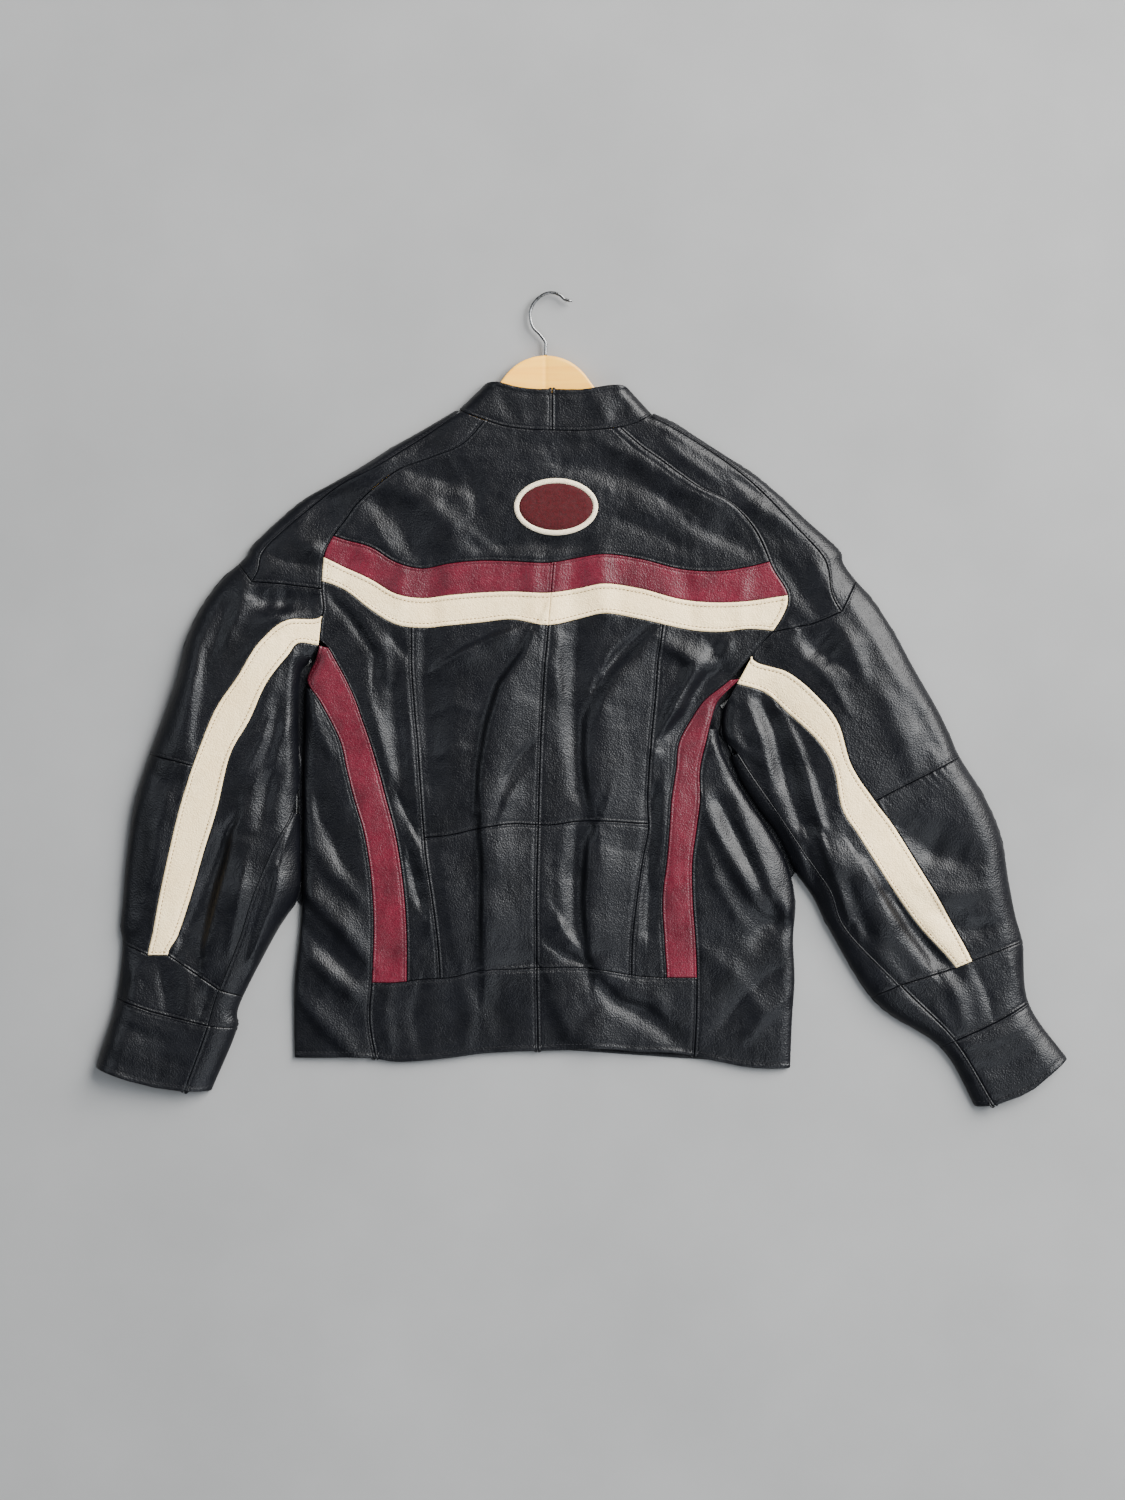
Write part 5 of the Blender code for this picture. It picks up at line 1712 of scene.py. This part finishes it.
# --- sub-assemblies
@dataclass(frozen=True)
class Arm:
    """The raised panels of one shoulder and sleeve."""

    side: str                           # "left" or "right" in the picture
    SEWN_OVER: ClassVar[float] = 25.0   # pixels over which the inner fold runs out into the under strip's seam

    def panel(self, piece: str, rows: tuple[int, int], seams: tuple[int, int], sides: Sides,
              slot: Slot = Slot.BLACK, **stitched: float) -> None:
        """Make one panel.

        Args:
            piece: Its name without the side.
            rows: First and last row of the arm's table.
            seams: Numbers of the seams at its start and end.
            sides: How it ends.
            slot: Its leather.
            stitched: How far in from its sides it is topstitched.
        """
        lattice = ARMS[self.side].lattice(rows, seams, sides)
        share = None
        if sides.end is Side.MIXED:
            under = ARMS[self.side].grid[UNDER_START[self.side] - 1, UNDER, 1]
            share = 1 - smooth((lattice[:, -1, 1] - under) / self.SEWN_OVER)
        below = "cuff_flat" if rows[0] >= CUFF else ("front" if rows[1] <= CAP else "sleeve_flat")
        Panel(f"{piece}_{self.side}", lattice, slot, sides, Zone.ARM, stitched, (f"{below}_{self.side}",),
              folded=share).build()

    def build(self) -> None:
        """Make all its panels."""
        edge, sewn = STITCH_LINE, Sides()
        outside, inside = Sides(start=Side.FOLD), Sides(end=Side.FOLD)
        self.panel("shoulder_edge", (NECK, CAP), (OUTER, RIDGE), outside, end=edge)
        self.panel("shoulder", (NECK, CAP), (RIDGE, SEAM), sewn, bottom=edge, end=edge)
        self.panel("sleeve_upper", (CAP, ELBOW), (OUTER, SEAM), outside, top=edge, bottom=edge)
        self.panel("sleeve_forearm", (ELBOW, WRIST), (OUTER, SEAM), outside, bottom=edge)
        self.panel("sleeve_stripe", (ARMHOLE, WRIST), (SEAM, STRIPE), sewn, Slot.CREAM,
                   start=CREAM_STITCH, end=CREAM_STITCH, bottom=edge)
        self.panel("sleeve_inner", (ARMHOLE, WRIST), (STRIPE, UNDER), Sides(end=Side.MIXED), bottom=edge)
        self.panel("sleeve_under_strip", (UNDER_START[self.side], WRIST), (UNDER, INNER), inside, start=edge)
        self.panel("wrist", (WRIST, CUFF), (OUTER, UNDER), outside, bottom=edge, end=edge)
        self.panel("wrist_strip", (WRIST, CUFF), (UNDER, INNER), inside)
        self.panel("cuff", (CUFF, CUFF_HEM), (OUTER, UNDER), Sides(bottom=Side.HEM, start=Side.FOLD),
                   bottom=HEM_STITCH, top=edge)
        self.panel("cuff_end", (CUFF, CUFF_HEM), (UNDER, INNER), Sides(bottom=Side.HEM, end=Side.FOLD),
                   bottom=HEM_STITCH, start=edge)
        log.info("arm %s done", self.side)


@dataclass(frozen=True)
class Back:
    """The raised panels of one half of the back, from the bands to the hem."""

    side: str                           # "left" or "right" in the picture

    def panel(self, piece: str, seams: tuple[str, str], levels: tuple[float, float], slot: Slot = Slot.BLACK,
              sides: Sides = Sides(), **stitched: float) -> None:
        """Make one panel.

        Args:
            piece: Its name without the side.
            seams: Its seams, the outer one first, without the side.
            levels: Levels across the back at its top and bottom.
            slot: Its leather.
            sides: How it ends.
            stitched: How far in from its sides it is topstitched.
        """
        names = tuple(name if name == "centre" else f"{name}_{self.side}" for name in seams)
        Panel(f"{piece}_{self.side}", BODY.lattice(names, levels, sides), slot, sides, Zone.BODY, stitched,
              (f"front_{self.side}",)).build()

    def build(self) -> None:
        """Make all its panels."""
        edge = STITCH_LINE
        hem = Sides(bottom=Side.HEM)
        self.panel("band_burgundy", ("stripe_in", "centre"), (BURGUNDY_TOP, CREAM_TOP), Slot.BURGUNDY,
                   top=edge, end=edge)
        self.panel("band_cream", ("stripe_in", "centre"), (CREAM_TOP, CREAM_BOTTOM), Slot.CREAM,
                   top=CREAM_STITCH, bottom=CREAM_STITCH, start=CREAM_END_STITCH)
        self.panel("back_upper", ("princess", "centre"), (CREAM_BOTTOM, WAIST), start=edge, end=edge, bottom=edge)
        self.panel("back_lower", ("princess", "centre"), (WAIST, HEM_SEAM), start=edge, end=edge, top=edge)
        self.panel("side_back", ("stripe_in", "princess"), (CREAM_BOTTOM, HEM_SEAM), start=edge, end=edge)
        self.panel("side_stripe", ("stripe_out", "stripe_in"), (STRIPE_TOP, HEM_SEAM), Slot.BURGUNDY,
                   start=edge, end=edge)
        self.panel("side_panel", ("side", "stripe_out"), (SIDE_TOP[self.side], HEM_EDGE),
                   sides=Sides(start=Side.FOLD, bottom=Side.HEM), bottom=HEM_STITCH, end=edge)
        self.panel("hem_band", ("stripe_out", "centre"), (HEM_SEAM, HEM_EDGE), sides=hem, top=edge,
                   bottom=HEM_STITCH, start=edge, end=edge)
        log.info("back %s done", self.side)


class Yoke:
    """The yoke between the collar and the burgundy band, with the plain oval badge on it."""

    CENTRE = np.array(BADGE_CENTRE)
    FACE = np.array([37.0, 23.5])       # the badge's half width and half height in pixels, and its border's
    EDGE = np.array([42.0, 28.5])
    FACE_SHARES = np.array([0.02, 0.2, 0.4, 0.6, 0.8, 0.93, 0.99, 1.0])     # rings of the face
    FACE_LIFTS = np.array([1.9, 1.9, 1.9, 1.9, 1.85, 1.6, 1.1, 0.5]) * MM
    SATIN = 210                         # stitches round the border

    @staticmethod
    def lattice(sides: Sides) -> Array:
        """Span the yoke between its four seams.

        Args:
            sides: How it ends.

        Returns:
            Places in pixels, by row and column.
        """
        left, right = (ARMS[side].line(SEAM, NECK, BAND) for side, _ in SIDES)
        width = float(right[-1, 0] - left[-1, 0]) * PIXEL
        across = graded([width], sides.start, sides.end)[0] / width
        depth = length(left) * PIXEL
        down = graded([depth], sides.top, sides.bottom)[0] / depth
        start, end = at_shares(left, down), at_shares(right, down)
        neck = spline(np.arange(len(COLLAR)), [row.seam for row in COLLAR], np.linspace(0, len(COLLAR) - 1, 200))
        x = left[0, 0] * (1 - across) + right[0, 0] * across
        top = np.stack((x, np.interp(x, neck[:, 0], neck[:, 1])), axis=-1)
        x = left[-1, 0] * (1 - across) + right[-1, 0] * across
        bottom = np.stack((x, BODY.seam_across(np.zeros(len(x)), x)), axis=-1)
        d, a = down[:, None, None], across[None, :, None]
        ruled = top[None] * (1 - d) + bottom[None] * d
        sided = start[:, None] * (1 - a) + end[:, None] * a
        mixed = (left[0] * (1 - a) + right[0] * a) * (1 - d) + (left[-1] * (1 - a) + right[-1] * a) * d
        return ruled + sided - mixed

    def build(self) -> None:
        """Make the yoke and its badge."""
        stitched = {"bottom": STITCH_LINE, "start": STITCH_LINE, "end": YOKE_END_STITCH}
        Panel("back_yoke", self.lattice(Sides()), Slot.BLACK, Sides(), Zone.BODY, stitched,
              ("front_left", "front_right")).build()
        self.badge_face()
        self.badge_border()
        log.info("yoke done")

    @staticmethod
    def on_leather(places: Array, lift: float | Array) -> Array:
        """Lay places on the yoke.

        Args:
            places: Places in pixels.
            lift: Height above the leather in metres.

        Returns:
            Points in metres.
        """
        return raised(places, RELIEF.height(places, Zone.BODY) + lift)

    def ring(self) -> Array:
        """Give the directions round the badge.

        Returns:
            Cosines and sines, of which the last repeat the first.
        """
        turns = np.linspace(0, 2 * math.pi, 73)
        return np.stack((np.cos(turns), np.sin(turns)), axis=-1)

    def badge_face(self) -> None:
        """Make the badge's felt face."""
        places = self.CENTRE + self.FACE_SHARES[:, None, None] * self.ring()[None] * self.FACE
        mesh = closed_mesh(self.on_leather(places, self.FACE_LIFTS[:, None]), 0.01 * MM,
                           Vector(plan(self.CENTRE)))
        piece = add_piece("badge_face", mesh, BADGE_FELT, "badge_face")
        piece.modifiers.new("wall", "SOLIDIFY").thickness = 0.5 * MM

    def badge_border(self) -> None:
        """Make the badge's border of satin stitches on a cord."""
        cord = []
        for angle in np.linspace(0, 2 * math.pi, 13)[:-1]:
            size = self.FACE + (self.EDGE - self.FACE) * (0.5 + 0.5 * math.cos(angle))
            cord.append(self.on_leather(self.CENTRE + self.ring() * size, (0.9 + 0.8 * math.sin(angle)) * MM))
        satin = Stitches(closed_mesh(np.array(cord + cord[:1]), 0.01 * MM))
        middle, half = (self.FACE + self.EDGE) / 2, (self.EDGE[0] - self.FACE[0]) / 2 - 0.4
        for angle in np.linspace(0, 2 * math.pi, self.SATIN + 1)[:-1]:
            way = np.array([math.cos(angle), math.sin(angle)])
            start, end = (Vector(self.on_leather((self.CENTRE + way * (middle + reach))[None], 1.75 * MM)[0])
                          for reach in (-half, half))
            satin.stitch(start, end, 0.2 * MM)
        add_piece("badge_border", satin.mesh, BADGE_EDGING, "badge_border")


def build_collar() -> None:
    """Make the two halves of the stand collar's back."""
    sides = Sides(top=Side.HEM, start=Side.FOLD)
    depth = 40.0 * PIXEL                # about, for its cells
    share = (graded([depth], sides.top, sides.bottom)[0] / depth)[:, None, None]
    lines = np.array([row.top + row.seam for row in COLLAR])
    for side, first in (("left", 0), ("right", len(COLLAR) - 1)):
        line = spline(np.arange(len(COLLAR)), lines, np.linspace(first, COLLAR_CENTRE, 60))
        reach = along(((line[:, :2] + line[:, 2:]) / 2)[None], 1)[0]
        line = pick(line, reach, graded([reach[-1] * PIXEL], sides.start, sides.end)[0] / PIXEL)
        lattice = line[None, :, :2] * (1 - share) + line[None, :, 2:] * share
        Panel(f"collar_back_{side}", lattice, Slot.BLACK, sides, Zone.BODY,
              {"top": HEM_STITCH, "bottom": STITCH_LINE, "end": STITCH_LINE}, (f"collar_front_{side}",)).build()
    log.info("collar done")


class FlatLayer:
    """The layer on the floor: fronts, collar front, flat side of each sleeve, and the zip."""

    INSET = 3.9 * MM / PIXEL        # from a folded edge
    NECK_LOW = 452.0
    COLLAR_LOW = 412.0
    ZIP_HALF = 6.0
    ZIP_STITCH = 6.0 * MM           # topstitching from the zip, and from the collar's edge
    COLLAR_STITCH = 5.0 * MM
    SHADE_FILL_SLIT = 5.0                      # widest slit beside a sleeve that the fronts reach out under: black leather put in the slit as painted shade, where the sleeve nearly meets the body
    FRONT_DEPTH = 0.62              # about, in metres, for their cells
    COLLAR_DEPTH = 0.11
    TOOTH_PITCH = 2.6 * MM

    @staticmethod
    def hem(x: float, inset: float) -> float:
        """Give the height in the plan at which a piece ends at the hem.

        Args:
            x: Where across the back.
            inset: How far above the hem's edge, in pixels.

        Returns:
            Its y in pixels.
        """
        return float(BODY.seam_across(np.array(float(HEM_EDGE)), x)) - inset

    @staticmethod
    def drawn_in(line: Array, amount: float) -> Array:
        """Move a line of places sideways.

        Args:
            line: Places in pixels.
            amount: How far, in pixels, and to which side.

        Returns:
            The moved line.
        """
        run = unit(np.gradient(line, axis=0))
        return line + amount * np.stack((-run[:, 1], run[:, 0]), axis=-1)

    @staticmethod
    def ruled(first: Array, last: Array, depth: float, sides: Sides) -> Array:
        """Span a lattice between two lines.

        Args:
            first: Its start side from top to bottom.
            last: Its end side from top to bottom.
            depth: How far it is from top to bottom, in metres.
            sides: How it ends.

        Returns:
            Places in pixels, by row and column.
        """
        down = graded([depth], sides.top, sides.bottom, pitch=FLAT_PITCH)[0] / depth
        start, end = at_shares(first, down), at_shares(last, down)
        width = np.linalg.norm(end - start, axis=-1) * PIXEL
        share = (graded(width, sides.start, sides.end, pitch=FLAT_PITCH) / width[:, None])[..., None]
        return start[:, None] * (1 - share) + end[:, None] * share

    @staticmethod
    def panel(name: str, lattice: Array, sides: Sides, lift: Array | float = 0.0, **stitched: float) -> None:
        """Make one flat panel.

        Args:
            name: Its name.
            lattice: Its places in pixels.
            sides: How it ends.
            lift: How far it stands off the floor.
            stitched: How far in from its sides it is topstitched.
        """
        Panel(name, lattice, Slot.BLACK, sides, stitched=stitched, rests_on=("floor",), up=False, lift=lift).build()

    def front(self, side: str, sign: int) -> None:
        """Make one front and its half of the collar.

        Args:
            side: "left" or "right" in the picture.
            sign: -1 for the left, 1 for the right.
        """
        arm = ARMS[side]
        row = COLLAR[0] if side == "left" else COLLAR[-1]
        zip_edge = ZIP_LINE + sign * self.ZIP_HALF
        heights = np.linspace(arm.grid[ARMHOLE, INNER, 1] + 6, 1056.0, 60)
        side_x = BODY.seam_down(f"side_{side}", heights)
        sleeve_line = arm.line(INNER, ARMHOLE, WRIST)
        slit = sign * (np.interp(heights, sleeve_line[:, 1], sleeve_line[:, 0]) - side_x)
        # the front reaches out past the body's side under a narrow slit, so that black leather stands there as painted
        # shade in place of the floor, lifted a little
        shade_fill = 1 - smooth((slit - self.SHADE_FILL_SLIT) / 4.0) * smooth((heights - heights[0] - 40) / 30)
        reach = shade_fill * (np.maximum(slit, 0.0) + 2.5) - (1 - shade_fill) * self.INSET
        side_line = np.stack((side_x + sign * reach, heights), axis=-1)
        edge_line = self.drawn_in(arm.line(OUTER, NECK, CAP, 60), sign * self.INSET)
        outer = np.vstack((edge_line, [arm.grid[ARMHOLE, INNER] - (sign * self.INSET, 0)], side_line))
        outer[-1, 1] = self.hem(outer[-1, 0], 2.5)
        inner = np.array([(zip_edge, self.NECK_LOW), (zip_edge, self.hem(zip_edge, 2.5))])
        sides = Sides(bottom=Side.HEM)
        lattice = self.ruled(outer, inner, self.FRONT_DEPTH, sides)
        near = np.interp(lattice[:, 0, 1], heights, shade_fill, left=0.0, right=0.0)[:, None]
        lift = 1.0 * MM * near * (1 - smooth((along(plan(lattice), 1) - 10 * MM) / (5 * MM)))
        self.panel(f"front_{side}", lattice, sides, lift, end=self.ZIP_STITCH, bottom=HEM_STITCH)
        top, neck = (np.array([(first.x - sign * self.INSET, first.y), middle, last], float)
                     for first, middle, last in (
                         (row.top, (ZIP_LINE + sign * 26, 402.0), (zip_edge, self.COLLAR_LOW)),
                         (row.seam, (ZIP_LINE + sign * 50, self.NECK_LOW - 12), (zip_edge, self.NECK_LOW))))
        sides = Sides(start=Side.HEM)
        self.panel(f"collar_front_{side}", self.ruled(top, neck, self.COLLAR_DEPTH, sides), sides,
                   start=self.COLLAR_STITCH)

    def sleeve_back(self, side: str, sign: int) -> None:
        """Make the flat side of one sleeve and cuff.

        Args:
            side: "left" or "right" in the picture.
            sign: -1 for the left, 1 for the right.
        """
        for name, rows, bottom, stitch in (
                ("sleeve_flat", (CAP, ARMHOLE, CUFF), Side.SEAM, STITCH_LINE),
                ("cuff_flat", (CUFF, CUFF, CUFF_HEM), Side.HEM, HEM_STITCH)):
            outer = self.drawn_in(ARMS[side].line(OUTER, rows[0], rows[2]), sign * self.INSET)
            inner = self.drawn_in(ARMS[side].line(INNER, rows[1], rows[2]), -sign * self.INSET)
            sides = Sides(bottom=bottom)
            self.panel(f"{name}_{side}", self.ruled(outer, inner, length(outer) * PIXEL, sides), sides,
                       bottom=stitch)

    def zip(self) -> None:
        """Make the zip's tapes, teeth and slider."""
        centre, low = plan((ZIP_LINE, self.hem(ZIP_LINE, 2.0)))
        high, top = (plan((ZIP_LINE, self.COLLAR_LOW + down))[1] for down in (12.0, 0.0))
        for side, sign in SIDES:
            mesh = bmesh.new()
            near, far = (plan((ZIP_LINE + sign * away, 0.0))[0] for away in (0.6, self.ZIP_HALF - 0.4))
            add_box(mesh, ((near + far) / 2, (low + high) / 2, 0.9 * MM), (abs(far - near), high - low, 0.9 * MM))
            edges = [edge for edge in mesh.edges if abs(edge.verts[0].co.y - edge.verts[1].co.y) > 0.1]
            bmesh.ops.subdivide_edges(mesh, edges=edges, cuts=120, use_grid_fill=True)
            add_piece(f"zip_tape_{side}", mesh, FINISHES[Slot.TAPE], f"zip_tape_{side}")
        teeth = bmesh.new()
        for number in range(2 * int((high - low - 8 * MM) / self.TOOTH_PITCH)):
            away = 1.1 * MM if number % 2 else -1.1 * MM
            add_box(teeth, (centre + away, low + 3 * MM + number * self.TOOTH_PITCH / 2, 0.95 * MM),
                    (3.4 * MM, 1.1 * MM, 1.7 * MM))
        add_piece("zip_teeth", teeth, FINISHES[Slot.STEEL])
        slider = bmesh.new()
        add_box(slider, (centre, top - 6.0 * MM, 1.45 * MM), (9.0 * MM, 11.0 * MM, 2.8 * MM))
        add_box(slider, (centre, top - 9.5 * MM, 0.36 * MM), (2.6 * MM, 7.0 * MM, 0.7 * MM))
        bmesh.ops.bevel(slider, geom=slider.edges[:], affect="EDGES", offset=0.25 * MM, segments=2, profile=0.5,
                        material=-1)
        add_piece("zip_slider", slider, FINISHES[Slot.STEEL], "zip_slider")

    def build(self) -> None:
        """Make the whole layer."""
        for side, sign in SIDES:
            self.front(side, sign)
            self.sleeve_back(side, sign)
        self.zip()
        log.info("flat layer done")


class Hanger:
    """The flat wooden hanger and its wire hook."""

    THICKNESS = 10.0 * MM
    LOW = 1.8 * MM
    WIRE = 1.6 * MM
    EASE = 2.2 * MM / PIXEL             # how far its edges are eased
    TIP = {-3: 0.95, -2: 0.8, -1: 0.45}     # how the wire's end is rounded

    def wood(self) -> None:
        """Make the two glued arms with their eased edges."""
        places = np.linspace(-HANGER[-1].away, HANGER[-1].away, 181)
        table = np.array(HANGER)
        top, bottom = spline(table[:, 0], table[:, 1:], np.abs(places)).T
        middle, reach, half = (top + bottom) / 2, (bottom - top) / 2, self.THICKNESS / 2
        groove = 0.35 * MM * np.exp(-(places / 0.7) ** 2)
        rows = []
        for turn in np.linspace(0, 2 * math.pi, 33)[:-1]:
            across, high = (math.copysign(min(1.0, abs(part) * 1.35) ** 0.6, part)
                            for part in (math.cos(turn), math.sin(turn)))
            inside = self.EASE * (1 - math.sqrt(max(0.0, 1 - max(0.0, abs(high) - 0.75) * 4)))
            y = middle + across * (reach - 0.4 * inside)
            z = self.LOW + half + high * (half - groove)
            rows.append(raised(np.stack((HANGER_CENTRE + places, y), axis=-1), z))
        mesh = closed_mesh(np.array(rows + rows[:1]), 0.005 * MM)
        add_piece("hanger_wood", mesh, FINISHES[Slot.WOOD], "hanger_wood")

    def hook(self) -> None:
        """Make the bent wire."""
        count = len(HOOK_ROUTE)
        route = plan(spline(np.arange(count), HOOK_ROUTE, np.linspace(0, count - 1, 80)))
        way = unit(np.gradient(route, axis=0))
        side = np.stack((-way[:, 1], way[:, 0]), axis=-1)
        radius = np.full(len(route), self.WIRE)
        for index, share in self.TIP.items():
            radius[index] *= share
        rows = []
        for turn in np.linspace(0, 2 * math.pi, 17):
            z = self.LOW + self.THICKNESS / 2 + radius * math.sin(turn)
            rows.append(np.concatenate((route + side * radius[:, None] * math.cos(turn), z[:, None]), axis=-1))
        mesh = closed_mesh(np.array(rows), 0.005 * MM)
        add_piece("hanger_hook", mesh, FINISHES[Slot.STEEL], "hanger_hook")

    def build(self) -> None:
        """Make the hanger."""
        self.wood()
        self.hook()
        log.info("hanger done")


@dataclass(frozen=True)
class Lamp:
    """One softbox: where it stands round the jacket, how large and how bright."""

    azimuth: float              # degrees from the foot of the picture, counter-clockwise
    elevation: float            # degrees
    distance: float
    size: float
    power: float
    tone: Colour


LAMPS = (
    Lamp(130.0, 37.0, 5.0, 3.6, 1050.0, (1.0, 0.99, 0.97)),
    Lamp(100.0, 54.0, 4.5, 2.0, 150.0, (0.90, 0.95, 1.0)),
    Lamp(255.0, 48.0, 4.0, 2.0, 55.0, (0.88, 0.94, 1.0)),
    Lamp(20.0, 46.0, 4.0, 2.0, 80.0, (0.88, 0.94, 1.0)),
)


class Studio:
    """Floor, light and camera."""

    FLOOR_HALF = 6.0
    CAMERA_HEIGHT = 3.0
    SENSOR = 36.0                       # millimetres
    FOCUS_HEIGHT = 15 * MM              # height at which the picture's scale is true
    PICTURE_CENTRE = Pixel(562.5, 750.0)
    PICTURE_HEIGHT = 1500.0
    SKY = (0.84, 0.91, 1.0, 1.0)
    SKY_RANGE = {"From Min": 0.25, "From Max": 0.9, "To Min": 0.34, "To Max": 0.02}    # dark straight above

    def sky(self) -> None:
        """Light the world, faintly and mostly from low down."""
        world = bpy.context.scene.world or bpy.data.worlds.new("world")
        bpy.context.scene.world = world
        world.use_nodes = True
        tree = world.node_tree
        background = tree.nodes["Background"]
        place, apart, bright = (tree.nodes.new(f"ShaderNode{kind}") for kind in ("TexCoord", "SeparateXYZ", "MapRange"))
        bright.interpolation_type = "SMOOTHSTEP"
        for key, value in self.SKY_RANGE.items():
            bright.inputs[key].default_value = value
        tree.links.new(place.outputs["Generated"], apart.inputs["Vector"])
        tree.links.new(apart.outputs["Z"], bright.inputs["Value"])
        tree.links.new(bright.outputs["Result"], background.inputs["Strength"])
        background.inputs["Color"].default_value = self.SKY

    def build(self) -> None:
        """Set the studio up."""
        mesh = bmesh.new()
        bmesh.ops.create_grid(mesh, x_segments=1, y_segments=1, size=self.FLOOR_HALF)
        add_mesh("floor", mesh, FLOOR)
        self.sky()
        for number, lamp in enumerate(LAMPS):
            light = bpy.data.lights.new(f"softbox_{number}", "AREA")
            light.shape, light.size, light.energy, light.color = "SQUARE", lamp.size, lamp.power, lamp.tone
            item = add_object(light.name, light)
            azimuth, elevation = math.radians(lamp.azimuth), math.radians(lamp.elevation)
            way = Vector((math.sin(azimuth) * math.cos(elevation), -math.cos(azimuth) * math.cos(elevation),
                          math.sin(elevation)))
            item.location = way * lamp.distance
            item.rotation_euler = way.to_track_quat("Z", "Y").to_euler()
        camera = bpy.data.cameras.new("camera")
        camera.sensor_fit, camera.sensor_height = "VERTICAL", self.SENSOR
        camera.lens = self.SENSOR * (self.CAMERA_HEIGHT - self.FOCUS_HEIGHT) / (self.PICTURE_HEIGHT * PIXEL)
        viewer = add_object("camera", camera)
        viewer.location = (*plan(self.PICTURE_CENTRE), self.CAMERA_HEIGHT)
        bpy.context.scene.camera = viewer
        log.info("studio done")


def main() -> None:
    """Build the jacket, its hanger and the studio, in order."""
    logging.basicConfig(level=logging.INFO, format="%(name)s: %(message)s")
    Studio().build()
    FlatLayer().build()
    for side, _ in SIDES:
        Arm(side).build()
        Back(side).build()
    Yoke().build()
    build_collar()
    Hanger().build()


if __name__ == "__main__":
    main()
